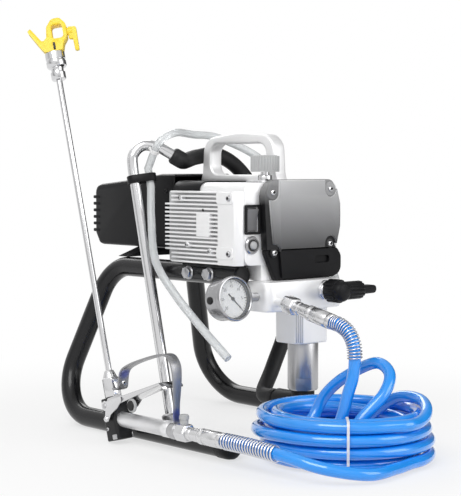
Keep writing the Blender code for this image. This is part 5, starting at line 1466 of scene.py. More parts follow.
@dataclass
class PressureKnob:
    """The ribbed pressure knob and its bright stem."""

    x: float = -0.074
    y: float = -0.010
    base_z: float = 0.3163
    radius: float = 0.0175
    height: float = 0.020
    ribs: int = 30
    stem_r: float = 0.0085
    stem_h: float = 0.0125

    def build(self) -> None:
        """Build the stem and the knob."""
        place = moved(self.x, self.y, self.base_z)
        r, h = self.stem_r, self.stem_h
        stem = [(0.0, h), (r * 0.62, h), (r * 0.62, h * 0.74), (r * 0.94, h * 0.72), (r, h * 0.66),
                (r, h * 0.12), (r * 0.94, 0.0), (0.0, 0.0)]
        Shape().spin(stem, place).piece("knob_stem_turned", CHROME, replaces=("knob_stem",))
        lift = along_axes(place, 0, 0, h + GAP)
        grip = wheel(self.ribs, self.radius, self.radius - 0.0011)
        shape = Shape().prism(grip, self.height - 0.0022, along_axes(lift, 0, 0, 0.0012), 0.0004, 2)
        skirt = [(0.0, 0.0014), (self.radius - 0.0004, 0.0014), (self.radius - 0.0002, 0.0004),
                 (self.radius - 0.0008, 0.0), (0.0, 0.0)]
        shape.spin(skirt, lift)
        top, rim = self.height, self.radius - 0.0016
        crown = [(0.0, top - 0.0014), (rim * 0.62, top - 0.0014), (rim * 0.66, top - 0.0004),
                 (rim * 0.74, top), (rim * 0.92, top - 0.0003), (rim, top - 0.0016), (rim, top - 0.004),
                 (0.0, top - 0.004)]
        shape.spin(crown, lift)
        shape.piece("pressure_knob_ribbed", KNOB_GREY, Body.KNOB, ("pressure_knob",))
        mark = along_axes(lift, rim * 0.83, 0, top - 0.0001)
        Shape().box((0.0030, 0.0009, 0.0006), mark, 0.0002).piece("knob_mark", TIE_WHITE, Body.KNOB)


@dataclass
class MotorCover:
    """The moulded motor cover with louvres at its rear edge."""

    half: float = 0.052
    rear_y: float = 0.311
    middle_z: float = 0.272
    louvres: int = 6
    pitch: float = 0.009
    hood_front: float = 0.0495
    hood_rear: float = 0.098
    hood_t: float = 0.0012
    hood_low: float = 0.3062
    neck_rear: float = 0.1396
    neck_low: float = 0.2320
    housing_sides: Flat = (-0.126, 0.030)
    neck_sides: Flat = (-0.092, 0.002)
    housing_top: float = 0.316
    housing_corner: float = 0.010
    handle_half: float = 0.0106
    screws: tuple[Flat, ...] = ((0.156, 0.2420), (0.156, 0.3040))

    def build(self) -> None:
        """Dress the shell, and add louvres, hood and screws."""
        restyle("motor_cover", SHELL, 0.0012, smooth=50.0)
        for side, way, edge, neck in (("left", 1, self.housing_sides[0], self.neck_sides[0]),
                                      ("right", -1, self.housing_sides[1], self.neck_sides[1])):
            self.hood(f"motor_hood_{side}", edge, way, (self.hood_front, self.hood_rear), self.hood_low)
            self.hood(f"motor_neck_{side}", neck, way, (self.hood_rear + GAP, self.neck_rear), self.neck_low)
        blades = Shape()
        for index in range(self.louvres):
            z = self.middle_z + (index - (self.louvres - 1) / 2) * self.pitch
            for sign in (-1, 1):
                place = moved(MID_X + sign * (self.half - 0.0075), self.rear_y - 0.0055, z)
                blades.box((0.0160, 0.0150, 0.0044), place, 0.0014)
            blades.box((self.half * 1.20, 0.0022, 0.0030),
                       moved(MID_X, self.rear_y - 0.0012, z + self.pitch / 2), 0.0008)
        blades.piece("motor_louvres", SHELL)
        for number, (y, z) in enumerate(self.screws, 1):
            screw(at(MID_X - self.half, y, z), LEFT, 0.0030, f"motor_screw_{number}", PLUG_BLACK)

    def hood(self, name: str, edge: float, way: int, run: Flat, low: float) -> None:
        """Carry the black shell forward over one side of the housing.

        Args:
            name: the piece's name.
            edge: the side that it wraps.
            way: 1 where the housing lies to the right of that side, and -1 otherwise.
            run: where it starts and ends along the machine.
            low: how far down its skirt reaches.
        """
        turn = self.housing_corner
        middle = (edge + way * turn, self.housing_top - turn)
        skins = []
        for radius in (turn + GAP, turn + GAP + self.hood_t):
            turns = [math.radians(90 * step / 10) for step in range(11)]
            arc = [(middle[0] - way * radius * math.cos(angle), middle[1] + radius * math.sin(angle))
                   for angle in turns]
            skins.append([(arc[0][0], low), *arc, (MID_X - way * self.handle_half, arc[-1][1])])
        outline = skins[1] + skins[0][::-1]
        place = moved(0, run[1], 0) @ FRONTWARDS
        Shape().prism(outline, run[1] - run[0], place, 0.0004, 2).piece(name, SHELL)


@dataclass
class FluidEnd:
    """Manifold, pump block, polished cylinder and inlet elbow."""

    pump_x: float = -0.0144
    pump_y: float = -0.016

    def build(self) -> None:
        """Dress the castings and add their small details."""
        restyle("pump_manifold", CAST, smooth=40.0)
        restyle("pump_block", CAST, 0.0006)
        restyle("pump_cylinder", POLISHED, 0.0004, smooth=30.0)
        restyle("inlet_elbow", SHELL, 0.0006)
        self.ribs()

    def ribs(self) -> None:
        """Add the upright ribs on the block's chamfered front corner."""
        ribs = Shape()
        turn = turned(-45, "Z")
        corner = moved(self.pump_x - 0.0240, self.pump_y - 0.0175, 0.1406)
        for offset in (-0.0036, -0.0012, 0.0012, 0.0036):
            ribs.box((0.0011, 0.0014, 0.0400), corner @ along_axes(turn, offset, 0, 0), 0.0004)
        ribs.piece("block_ribs", STEEL)


@dataclass
class Gauge:
    """The pressure gauge with its dial, figures, needle and lens."""

    x: float = -0.1518
    y: float = -0.030
    z: float = 0.181
    radius: float = 0.0265
    depth: float = 0.028
    tilt: float = 8.0
    recess: float = 0.0075
    bowl: float = 0.0237
    rest: float = -135.0
    sweep: float = 270.0
    between: int = 5
    figures: tuple[str, ...] = ("0", "5", "10", "15", "20", "25", "30")

    def build(self) -> None:
        """Build the gauge."""
        face = moved(self.x, self.y, self.z) @ turned(90 - self.tilt, "X")
        front = self.depth / 2
        floor = front - self.recess
        self.case(face, front, floor)
        self.dial(face, floor + GAP)
        self.needle(along_axes(face, 0, 0, floor + 0.0016))
        glass = [(0.0, front - 0.0008), (self.bowl * 0.7, front - 0.0011),
                 (self.bowl - 0.0002, front - 0.0019), (self.bowl - 0.0002, front - 0.0030),
                 (0.0, front - 0.0030)]
        Shape().spin(glass, face, 64).piece("gauge_lens", LENS)
        liner = [(self.bowl - 0.0011, front - 0.0032), (self.bowl - 0.0001, front - 0.0032),
                 (self.bowl - 0.0001, floor + 0.0014), (self.bowl - 0.0011, floor + 0.0014)]
        Shape().spin(liner, face, 64).piece("gauge_liner", INK)

    def case(self, face: Matrix, front: float, floor: float) -> None:
        """Build the case with its rolled bezel, stem and filler plug.

        Args:
            face: the gauge's own place, looking out of the dial.
            front: height of the bezel's front.
            floor: height of the bowl's floor.
        """
        r, bowl = self.radius, self.bowl
        profile = [(0.0, floor), (bowl, floor), (bowl, front - 0.0006), (bowl + 0.0006, front),
                   (r - 0.0012, front), (r - 0.0003, front - 0.0005), (r, front - 0.0014),
                   (r, front - 0.0054), (r - 0.0005, front - 0.0064), (r - 0.0018, front - 0.0068),
                   (r - 0.0018, -front + 0.003), (r - 0.0026, -front + 0.0010), (r - 0.0045, -front),
                   (0.0, -front)]
        shape = Shape().spin(profile, face, 72)
        stem = seat(at(self.x + r * 0.8, self.y, self.z), Vector((1, 0, 0)))
        shape.prism(hexagon(0.0062), 0.0150, stem, 0.0006)
        shape.spin([(0.0, 0.0243), (0.0052, 0.0243), (0.0052, 0.0), (0.0, 0.0)], stem, 32)
        shape.piece("gauge_case_bright", GAUGE_STEEL, replaces=("gauge_case",))
        plug = [(0.0, 0.0022), (0.0030, 0.0020), (0.0042, 0.0012), (0.0046, 0.0), (0.0046, -0.003),
                (0.0, -0.003)]
        side = along_axes(face, -r + 0.0018, 0.0, -0.004) @ turned(-90, "Y")
        Shape().spin(plug, side, 32).piece("gauge_plug", PLUG_BLACK)

    def dial(self, face: Matrix, low: float) -> None:
        """Build the white dial with its marks and figures.

        Args:
            face: the gauge's own place.
            low: height of the dial's rear.
        """
        edge = self.bowl - GAP
        Shape().spin([(0.0, 0.001), (edge, 0.001), (edge, 0.0), (0.0, 0.0)], along_axes(face, 0, 0, low),
                     64).piece("gauge_dial_printed", DIAL, replaces=("gauge_dial",))
        marks = Shape()
        top = low + 0.00105
        count = self.between * (len(self.figures) - 1)
        for step in range(count + 1):
            turn = face @ turned(self.rest + self.sweep * step / count, "Z")
            major = step % self.between == 0
            long = 0.0042 if major else 0.0024
            wide = 0.0009 if major else 0.0005
            marks.box((wide, long, 0.0001), along_axes(turn, 0, edge - 0.0014 - long / 2, top), 0.00002)
            if major:
                upright = turned(-self.rest - self.sweep * step / count, "Z")
                spot = along_axes(turn, 0, edge - 0.0086, top)
                marks.words(self.figures[step // self.between], 0.0050, spot @ upright)
        ring = [(edge - 0.0013, top + 0.00005), (edge - 0.0001, top + 0.00005),
                (edge - 0.0001, top - 0.00005), (edge - 0.0013, top - 0.00005)]
        marks.spin(ring, face, 64)
        marks.piece("gauge_marks", INK)

    def needle(self, pivot: Matrix) -> None:
        """Build the needle at rest.

        Args:
            pivot: the hub's place.
        """
        lying = pivot @ turned(self.rest, "Z")
        arm = [(-0.0003, 0.0172), (-0.0007, 0.004), (-0.0010, -0.0085), (0.0010, -0.0085), (0.0007, 0.004),
               (0.0003, 0.0172)]
        shape = Shape().prism(arm, 0.0006, lying, 0.0001, 1)
        shape.spin([(0.0, 0.0018), (0.0014, 0.0017), (0.0023, 0.0012), (0.0024, 0.0), (0.0, 0.0)], lying, 28)
        shape.piece("gauge_pointer", INK, Body.NEEDLE, ("gauge_needle",))


@dataclass
class PrimeValve:
    """The prime valve's bright seat and its black handle."""

    x: float = -0.011
    y: float = -0.0503
    z: float = 0.185
    base_r: float = 0.0125
    base_t: float = 0.009
    stem_r: float = 0.005
    knob_r: float = 0.0145
    knob_len: float = 0.026
    lever: float = 0.060

    def build(self) -> None:
        """Build the seat and the handle."""
        r, t = self.base_r, self.base_t
        base = [(0.0, t + 0.012), (self.stem_r, t + 0.012), (self.stem_r, t), (r * 0.90, t),
                (r, t - 0.0008), (r, t * 0.62), (r * 0.94, t * 0.56), (r * 0.94, t * 0.44), (r, t * 0.38),
                (r, 0.0), (0.0, 0.0)]
        Shape().spin(base, seat(at(self.x, self.y, self.z), AHEAD)).piece(
            "prime_seat", CHROME, replaces=("prime_valve",))
        knob_y = self.y - t - GAP
        place = moved(self.x, knob_y, self.z) @ FRONTWARDS
        hole = disc(self.stem_r + GAP, 24)
        shape = Shape().prism(wheel(12, self.knob_r, self.knob_r - 0.0013, 0.55), self.knob_len * 0.62,
                              place, 0.0005, 2, (hole,))
        nose = [(0.0, self.knob_len), (self.knob_r * 0.55, self.knob_len - 0.0003),
                (self.knob_r * 0.74, self.knob_len - 0.0018), (self.knob_r * 0.86, self.knob_len * 0.80),
                (self.knob_r * 0.90, self.knob_len * 0.60), (0.0, self.knob_len * 0.60)]
        shape.spin(nose, place)
        self.arm(shape, place)
        shape.piece("prime_handle_moulded", SHELL, Body.PRIME, ("prime_handle",))

    def arm(self, shape: Shape, place: Matrix) -> None:
        """Add the fluted sleeve and the lever's nose.

        Args:
            shape: the handle's shape.
            place: the handle's place, with local X along the lever.
        """
        low = self.knob_len * 0.25
        thick = self.knob_len * 0.6
        half = 0.0062
        bar = rounded([(-0.006, -half, 0), (self.lever, -half * 0.8, half * 0.7),
                       (self.lever, half * 0.8, half * 0.7), (-0.006, half, 0)])
        shape.prism(bar, thick, along_axes(place, 0, 0, low), 0.0028, 3)
        along = along_axes(place, 0.004, 0, low + thick / 2) @ turned(90, "Y")
        shape.prism(wheel(14, 0.0112, 0.0101, 0.55), 0.032, along, 0.0012, 2)


@dataclass
class PaintHose:
    """The blue paint hose: lead, coil and tail, with its ends, springs and tie."""

    hose_r: float = 0.0068
    hex_r: float = 0.0100
    hex_len: float = 0.018
    ferrule_r: float = 0.0078
    ferrule_len: float = 0.020
    sleeve_r: float = 0.0092
    sleeve_len: float = 0.040
    outlet: Triple = (-0.092, -0.0641, 0.175)
    outlet_slope: float = 12.0
    gun_end: Triple = (-0.207, -0.0069, 0.0295)
    wire_gap: float = 0.0007
    coil_x: float = -0.074
    coil_y: float = -0.142
    coil_r: float = 0.100
    coil_pitch: float = 0.0166
    coil_rise: float = 0.0146
    layers: int = 4
    layer_turns: float = 1.375
    coil_start: float = -90.0
    loop_points: int = 24
    coil_low: float = 0.0099
    tie_angle: float = -134.0
    drop: Triples = (
        (-0.092, -0.1671, 0.1481), (-0.0925, -0.1754, 0.1321), (-0.0933, -0.1750, 0.1035),
        (-0.1003, -0.1730, 0.0809), (-0.1080, -0.1718, 0.0573), (-0.1145, -0.1660, 0.0400),
        (-0.1218, -0.1462, 0.0280), (-0.1156, -0.1180, 0.0260), (-0.0950, -0.0990, 0.0290))
    arch: Triples = (
        (-0.0760, -0.0960, 0.0440), (-0.0645, -0.1034, 0.0687), (-0.0581, -0.1293, 0.0919),
        (-0.0511, -0.1693, 0.1115), (-0.0577, -0.1970, 0.1027), (-0.0776, -0.2060, 0.0825),
        (-0.1031, -0.1965, 0.0567))
    rim: Triples = (
        (225, 0.0610, 0.0300), (205, 0.0595, 0.0145), (185, 0.0590, 0.0102), (150, 0.0590, 0.0102),
        (110, 0.0590, 0.0102), (75, 0.0590, 0.0108), (45, 0.0580, 0.0190), (20, 0.0585, 0.0350),
        (0, 0.0630, 0.0530), (-15, 0.0720, 0.0655), (-30, 0.0810, 0.0690), (-45, 0.0890, 0.0680),
        (-60, 0.0955, 0.0635), (-72, 0.0995, 0.0575), (-84, 0.1020, 0.0540))
    swing: Triples = (
        (-0.206, -0.180, 0.027), (-0.190, -0.224, 0.018), (-0.150, -0.252, 0.0105))

    def build(self) -> None:
        """Build both ends, the hose as one cord, its springs and its tie."""
        slope = math.radians(self.outlet_slope)
        down = Vector((0, -math.cos(slope), -math.sin(slope)))
        start = at(self.outlet[0], self.outlet[1] - math.tan(slope) * 0.0055, self.outlet[2])
        sleeve_end = self.end("hose_end_upper", start, down) + down * GAP
        coil = self.coil()
        leaving = (coil[-1] - coil[-2]).normalized()
        coil.append(coil[-1] + leaving * 2 * self.hose_r)
        lead = [sleeve_end, sleeve_end + down * 0.005, sleeve_end + down * 0.012]
        lead += spread((*self.drop, *self.arch))
        lead += [self.ring(degrees, radius, height) for degrees, radius, height in self.rim]
        lead += [coil[-1] + leaving * self.hose_r, coil[-1] + leaving * GAP]
        lower_end = self.end("hose_end_lower", at(*self.gun_end), AHEAD) + AHEAD * GAP
        arriving = (coil[1] - coil[0]).normalized()
        tail = [lower_end, lower_end + AHEAD * 0.040, *spread(self.swing),
                coil[0] - arriving * 0.026 - Vector((0, 0.002, 0)), coil[0]]
        wound = straight_ended(tail, 0.006)[:-1] + smooth_route(coil, 0.006)
        route = straight_ended(lead, 0.005) + wound[::-1]
        hose = tube("paint_hose", route, self.hose_r, HOSE_BLUE, ("hose_lead", "hose_coil"), 10)
        on_it = [bpy.data.objects["hose_end_lower_crimped"], self.cap(),
                 self.spring("spring_guard_upper", lead, 18, 0.0032, 0.0007),
                 self.spring("spring_guard_lower", tail, 19, 0.0044, 0.0011), *self.tie(coil)]

    def ring(self, degrees: float, radius: float, height: float) -> Vector:
        """Return a spot round the coil's middle."""
        angle = math.radians(degrees)
        return at(self.coil_x + radius * math.cos(angle), self.coil_y + radius * math.sin(angle), height)

    def coil(self) -> Route:
        """Wind the coil's layers.

        Returns:
            The coil's points, from the floor up.
        """
        route = []
        degrees, height, radius = self.coil_start, self.coil_low, self.coil_r
        step_degrees = 360.0 / self.loop_points
        climb = self.loop_points // 2
        for layer in range(self.layers):
            way = -1 if layer % 2 == 0 else 1
            for _ in range(round(self.layer_turns * self.loop_points)):
                route.append(self.ring(degrees, radius, height))
                degrees += step_degrees
                radius += way * self.coil_pitch / self.loop_points
            if layer < self.layers - 1:
                for step in range(climb):
                    route.append(self.ring(degrees, radius, height + self.coil_rise * step / climb))
                    degrees += step_degrees
                height += self.coil_rise
        return route

    def end(self, node: str, start: Vector, along: Vector) -> Vector:
        """Build a hose end: hexagon nut, ferrule and crimped sleeve.

        Args:
            node: the part's hose end that it stands for.
            start: where the nut begins.
            along: the way that the hose leaves.

        Returns:
            Where the sleeve ends.
        """
        place = seat(start, along)
        a = self.hex_len
        b = a + self.ferrule_len
        c = b + self.sleeve_len
        r, f = self.sleeve_r, self.ferrule_r
        profile = [(0.0, c), (r - 0.0016, c), (r - 0.0004, c - 0.0008), (r, c - 0.0022)]
        for groove in (c - 0.0065, b + 0.0085):
            profile += [(r, groove + 0.0016), (r - 0.0005, groove + 0.0008), (r - 0.0005, groove - 0.0008),
                        (r, groove - 0.0016)]
        profile += [(r, b + 0.003), (r - 0.0005, b + 0.0012), (f, b), (f, a + 0.012),
                    (f - 0.0008, a + 0.0112), (f - 0.0008, a + 0.0070), (f, a + 0.0062), (f, a - 0.002),
                    (0.0, a - 0.002)]
        shape = Shape().spin(profile, place)
        shape.prism(hexagon(self.hex_r), a, place, 0.0022, 4)
        shape.piece(f"{node}_crimped", FITTING, replaces=(node,))
        return start + along.normalized() * c

    def cap(self) -> Piece:
        """Set the grey round cap on the lower nut.

        Returns:
            The cap.
        """
        x, y, z = self.gun_end
        place = moved(x, y - self.hex_len * 0.5, z + self.hex_r - 0.0015)
        profile = [(0.0, 0.0125), (0.0044, 0.0125), (0.0056, 0.0114), (0.0058, 0.0104), (0.0058, 0.0072),
                   (0.0050, 0.0066), (0.0050, 0.0), (0.0, 0.0)]
        return Shape().spin(profile, place, 32).piece("swivel_cap", KNOB_GREY)

    def spring(self, node: str, route: Route, turns: int, pitch: float, wire_r: float) -> Piece:
        """Wind a wire spring round a stretch of hose.

        Args:
            node: the part's spring that it stands for.
            route: the hose's own points.
            turns: how many turns it has.
            pitch: length of one turn.
            wire_r: the wire's radius.

        Returns:
            The spring.
        """
        fine = straight_ended(route, 0.002)
        lengths = [0.0]
        for a, b in zip(fine, fine[1:]):
            lengths.append(lengths[-1] + (b - a).length)
        per_turn = 18
        wire = []
        side = Vector((1, 0, 0))
        index = 0
        for step in range(turns * per_turn + 1):
            wanted = wire_r + GAP + pitch * step / per_turn
            while lengths[index + 1] < wanted:
                index += 1
            ahead = (fine[index + 1] - fine[index]).normalized()
            centre = fine[index] + ahead * (wanted - lengths[index])
            side = (side - ahead * side.dot(ahead)).normalized()
            angle = math.tau * step / per_turn
            wire.append(centre + (side * math.cos(angle) + ahead.cross(side) * math.sin(angle))
                        * (self.hose_r + self.wire_gap + wire_r))
        return tube(f"{node}_wound", wire, wire_r, WIRE, (node,), 4)

    def tie(self, coil: Route) -> list[Piece]:
        """Build the white tie round the coil, with its knot.

        Args:
            coil: the coil's points.

        Returns:
            The tie and the knot.
        """
        reach = self.hose_r + GAP
        near = self.coil_r - self.layer_turns * self.coil_pitch - reach
        far = self.coil_r + reach
        low = 0.0014
        high = max(point.z for point in coil) + reach
        thick = 0.0012
        inner = rectangle(near, far, low + thick, high, self.hose_r * 0.9)
        outer = rectangle(near - thick, far + thick, low, high + thick, self.hose_r)
        middle = moved(self.coil_x, self.coil_y, 0) @ turned(self.tie_angle, "Z")
        width = 0.0030
        band = Shape().prism(outer, width, along_axes(middle, 0, width / 2, 0) @ FRONTWARDS, 0.0003, 2,
                             (inner,))
        made = [band.piece("tie_band", TIE_WHITE, replaces=("hose_tie",))]
        spot = along_axes(middle, far + thick + 0.0008, 0.0, 0.0085)
        knot = Shape().box((0.0042, 0.0056, 0.0062), spot, 0.0014)
        tail = along_axes(spot @ turned(35, "X"), 0.0010, 0.0, -0.0020)
        knot.box((0.0012, 0.0030, 0.0110), tail, 0.0004)
        made.append(knot.piece("tie_knot", TIE_WHITE))
        return made


@dataclass
class SprayGun:
    """The gun on its pole, with trigger, guard strap, tip guard and tip."""

    x: float = -0.207
    foot_y: float = 0.103
    lean: float = 15.7
    half_t: float = 0.012
    half_w: float = 0.012
    body_low: float = 0.004
    body_len: float = 0.056
    handle_z: float = 0.0295
    handle_r: float = 0.0092
    handle_end_y: float = 0.006
    swivel_r: float = 0.0075
    pin_s: float = 0.047
    stop: Triple = (-0.223, 0.0600, 0.0530)
    guard_w: float = 0.015
    guard_t: float = 0.0022
    leg_front_y: float = 0.012
    leg_top_z: float = 0.104
    leg_drop: float = 0.055
    leg_taper: float = 0.45
    guard_line: tuple[Flat, ...] = ((0.1110, 0.0660), (0.1040, 0.0660), (0.0995, 0.0690), (0.0982, 0.0780),
                                    (0.0955, 0.0880), (0.0860, 0.0955), (0.060, 0.1055), (0.018, 0.1165),
                                    (0.002, 0.110), (-0.003, 0.092), (-0.002, 0.060))
    nut_r: float = 0.0098
    nut_len: float = 0.033
    pole_r: float = 0.0038
    pole_len: float = 0.372
    tip_nut_r: float = 0.0125
    tip_nut_len: float = 0.036
    guard_s: float = 0.4982
    guard_turn: float = -42.0
    guard_deep: float = 0.017
    window_s: float = 0.024
    flag: float = 0.011

    def axis(self) -> Matrix:
        """Return the gun's leaning axis, from its foot up."""
        return moved(self.x, self.foot_y, 0) @ turned(-self.lean, "X")

    def build(self) -> None:
        """Build the gun from its foot up."""
        axis = self.axis()
        self.body(axis)
        self.handle()
        self.trigger()
        self.strap()
        self.pole(axis)
        self.tip(along_axes(axis, 0, 0, self.guard_s) @ turned(self.guard_turn, "Z"))

    def body(self, axis: Matrix) -> None:
        """Build the black body with its screws and pivot.

        Args:
            axis: the gun's axis.
        """
        plan = rectangle(-self.half_t, self.half_t, -self.half_w, self.half_w, 0.004)
        shape = Shape().prism(plan, self.body_len - self.body_low, along_axes(axis, 0, 0, self.body_low),
                              0.0014)
        collar = [(0.0, 0.0568), (0.0090, 0.0568), (0.0108, 0.0552), (0.0112, 0.0520), (0.0, 0.0520)]
        shape.spin(collar, axis)
        shape.piece("gun_body_moulded", GUN_BLACK, replaces=("gun_body",))
        for sign in (-1, 1):
            out = Vector((sign, 0, 0))
            eye = axis @ Vector((sign * self.half_t, 0, self.pin_s))
            pin = [(0.0, 0.0046), (0.0024, 0.0046), (0.0030, 0.0040), (0.0030, -0.001), (0.0, -0.001)]
            side = "left" if sign < 0 else "right"
            Shape().spin(pin, seat(eye, out), 32).piece(f"gun_pivot_{side}", STEEL)
            screw(axis @ Vector((sign * self.half_t, 0.0055, 0.019)), out, 0.0024, f"gun_screw_{side}", STEEL)
            plate = along_axes(axis, sign * self.half_t, -0.0060, self.body_low + 0.0040)
            Shape().box((0.0016, 0.0085, 0.0062), plate, 0.0007).piece(f"gun_foot_{side}", STEEL)

    def handle(self) -> None:
        """Build the satin handle and the swivel at its end."""
        place = seat(at(self.x, self.handle_end_y, self.handle_z), Vector((0, 1, 0)))
        r = self.handle_r
        ring = r + 0.0007
        grip = [(0.0, 0.095), (r, 0.095), (r, 0.0125), (ring, 0.0115), (ring, 0.0012), (r, 0.0), (0.0, 0.0)]
        Shape().spin(grip, place).piece("gun_handle_satin", SATIN, replaces=("gun_handle",))
        s = self.swivel_r + 0.0025
        swivel = [(0.0, 0.012), (s * 0.84, 0.012), (s, 0.0106), (s * 1.03, 0.0062), (s, 0.0016),
                  (s * 0.86, 0.0), (0.0, 0.0)]
        Shape().spin(swivel, seat(at(self.x, self.handle_end_y - GAP, self.handle_z), AHEAD)).piece(
            "gun_swivel_turned", STEEL, replaces=("gun_swivel",))

    def trigger(self) -> None:
        """Dress the trigger, and add its cheeks and the round stop."""
        restyle("trigger", CHROME, 0.0005, Body.TRIGGER)
        corners = ((0.0047, 0.0557, 0.003), (-0.0200, 0.0645, 0.002), (-0.0220, 0.0560, 0.002),
                   (-0.0130, 0.0455, 0.003), (-0.0010, 0.0360, 0.003), (0.0035, 0.0270, 0.002),
                   (0.0100, 0.0270, 0.002), (0.0092, 0.0384, 0.003))
        cheek = rounded([(self.foot_y + y, z, r) for y, z, r in corners], 4)
        for side, x in (("left", self.x - 0.0172), ("right", self.x + 0.0158)):
            plate = Shape().prism(cheek, 0.0014, moved(x, 0, 0) @ SIDEWAYS, 0.0004, 2)
            plate.ball(0.0038, moved(x + 0.0007, self.foot_y + 0.0067, 0.0302))
            plate.piece(f"trigger_cheek_{side}", CHROME, Body.TRIGGER)
        cap = [(0.0, 0.0042), (0.0052, 0.0040), (0.0062, 0.0030), (0.0064, 0.0012), (0.0, 0.0012)]
        rim = [(0.0, 0.0026), (0.0066, 0.0026), (0.0080, 0.0018), (0.0084, 0.0), (0.0, 0.0)]
        place = seat(at(*self.stop), LEFT)
        Shape().spin(rim, place).piece("trigger_stop_rim", KNOB_GREY, Body.TRIGGER)
        Shape().spin(cap, place).piece("trigger_stop", GUN_BLACK, Body.TRIGGER)

    def strap(self) -> None:
        """Build the bent guard strap."""
        foot = (self.guard_line[-1][0], self.handle_z + self.swivel_r)
        line = [Vector((a, b, 0.0)) for a, b in (*self.guard_line, foot)]
        fine = straight_ended(line, 0.002)
        left, right = [], []
        for index, point in enumerate(fine):
            ahead = (fine[min(index + 1, len(fine) - 1)] - fine[max(index - 1, 0)]).normalized()
            across = Vector((-ahead.y, ahead.x)) * (self.guard_t / 2)
            left.append(tuple(point.to_2d() + across))
            right.append(tuple(point.to_2d() - across))
        place = moved(self.x - self.guard_w / 2, 0, 0) @ SIDEWAYS
        shape = Shape().prism(left + right[::-1], self.guard_w, place, 0.0005, 2)
        middle = at(self.x, self.leg_front_y, 0)
        for vertex in shape.bm.verts:
            if vertex.co.y < middle.y:
                share = min(1.0, max(0.0, (self.leg_top_z - vertex.co.z) / self.leg_drop))
                vertex.co.x = middle.x + (vertex.co.x - middle.x) * (1 - self.leg_taper * share)
        # The strap's finish carries a painted blue reflection of the hose near its bends.
        shape.piece("guard_strap", STRAP_PAINTED_REFLECTION, replaces=("trigger_guard",))
        screw(at(self.x, 0.0976, 0.0745), Vector((0, -1, 0.1)), 0.0030, "strap_screw")

    def pole(self, axis: Matrix) -> None:
        """Build the nut, the pole and the tip nut.

        Args:
            axis: the gun's axis.
        """
        low = self.body_len + GAP
        shape = Shape().prism(hexagon(self.nut_r), self.nut_len * 0.72, along_axes(axis, 0, 0, low), 0.0010)
        r, top = self.nut_r, self.nut_len
        cone = [(0.0, top), (r * 0.52, top), (r * 0.60, top - 0.001), (r * 0.92, top * 0.72),
                (r * 0.92, top * 0.68), (0.0, top * 0.68)]
        shape.spin(cone, along_axes(axis, 0, 0, low))
        shape.piece("pole_nut_turned", CHROME, replaces=("pole_nut",))
        foot = low + self.nut_len + GAP
        rod = [(0.0, self.pole_len), (self.pole_r, self.pole_len), (self.pole_r, 0.0), (0.0, 0.0)]
        Shape().spin(rod, along_axes(axis, 0, 0, foot), 32).piece(
            "spray_pole_polished", CHROME, replaces=("spray_pole",))
        n, h = self.tip_nut_r, self.tip_nut_len
        nut = [(0.0, h), (n * 0.92, h), (n, h - 0.001), (n, h * 0.74), (n * 0.93, h * 0.72),
               (n * 0.93, h * 0.68), (n, h * 0.66), (n, h * 0.50), (n * 0.92, h * 0.46),
               (n * 0.66, h * 0.42), (n * 0.62, h * 0.38), (n * 0.62, h * 0.28), (n * 0.74, h * 0.26),
               (n * 0.74, h * 0.04), (n * 0.66, 0.0), (0.0, 0.0)]
        Shape().spin(nut, along_axes(axis, 0, 0, foot + self.pole_len + GAP)).piece(
            "tip_nut_turned", CHROME, replaces=("tip_nut",))

    def tip(self, place: Matrix) -> None:
        """Build the yellow tip guard and the tip that turns in it.

        Args:
            place: the guard's foot, with local Y through its window.
        """
        deep, s = self.guard_deep, self.window_s
        outline = rounded([(-0.0110, 0.0, 0.0015), (0.0115, 0.0, 0.0015), (0.0140, 0.0090, 0.004),
                           (0.0195, 0.0165, 0.004), (0.0205, 0.0330, 0.007), (0.0135, 0.0420, 0.006),
                           (0.0030, 0.0415, 0.007), (-0.0045, 0.0320, 0.006), (-0.0065, 0.0185, 0.003),
                           (-0.0120, 0.0130, 0.003), (-0.0250, 0.0335, 0.0012), (-0.0290, 0.0305, 0.0012),
                           (-0.0165, 0.0080, 0.004)], 6)
        window = rectangle(0.0010, 0.0155, s - 0.0085, s + 0.0100, 0.004)
        face = along_axes(place, 0, deep / 2, 0) @ FRONTWARDS
        Shape().prism(outline, deep, face, 0.0016, 3, (window,)).piece(
            "tip_guard_moulded", YELLOW, replaces=("tip_guard",))
        Shape().box((0.0030, 0.0012, 0.0095), along_axes(place, 0.0020, -deep / 2, 0.0062), 0.0005).piece(
            "tip_guard_slit", INK)
        out = 0.0212
        barrel = along_axes(place, 0.0165, 0, s) @ turned(90, "Y")
        length = out + self.flag / 2 - 0.0165
        shape = Shape().spin([(0.0, length), (0.0048, length), (0.0048, 0.0008), (0.0040, 0.0), (0.0, 0.0)],
                             barrel, 32)
        flag = rounded([(out, -0.0100, 0.002), (out + 0.0050, -0.0110, 0.001),
                        (out + 0.0056, -0.0265, 0.0015), (out + 0.0108, -0.0265, 0.0015),
                        (out + 0.0112, 0.0050, 0.003), (out, 0.0060, 0.002)], 4)
        shape.prism(flag, 0.006, along_axes(place, 0, 0.003, s) @ FRONTWARDS, 0.0012)
        shape.piece("spray_tip_moulded", YELLOW, Body.TIP, ("spray_tip",))


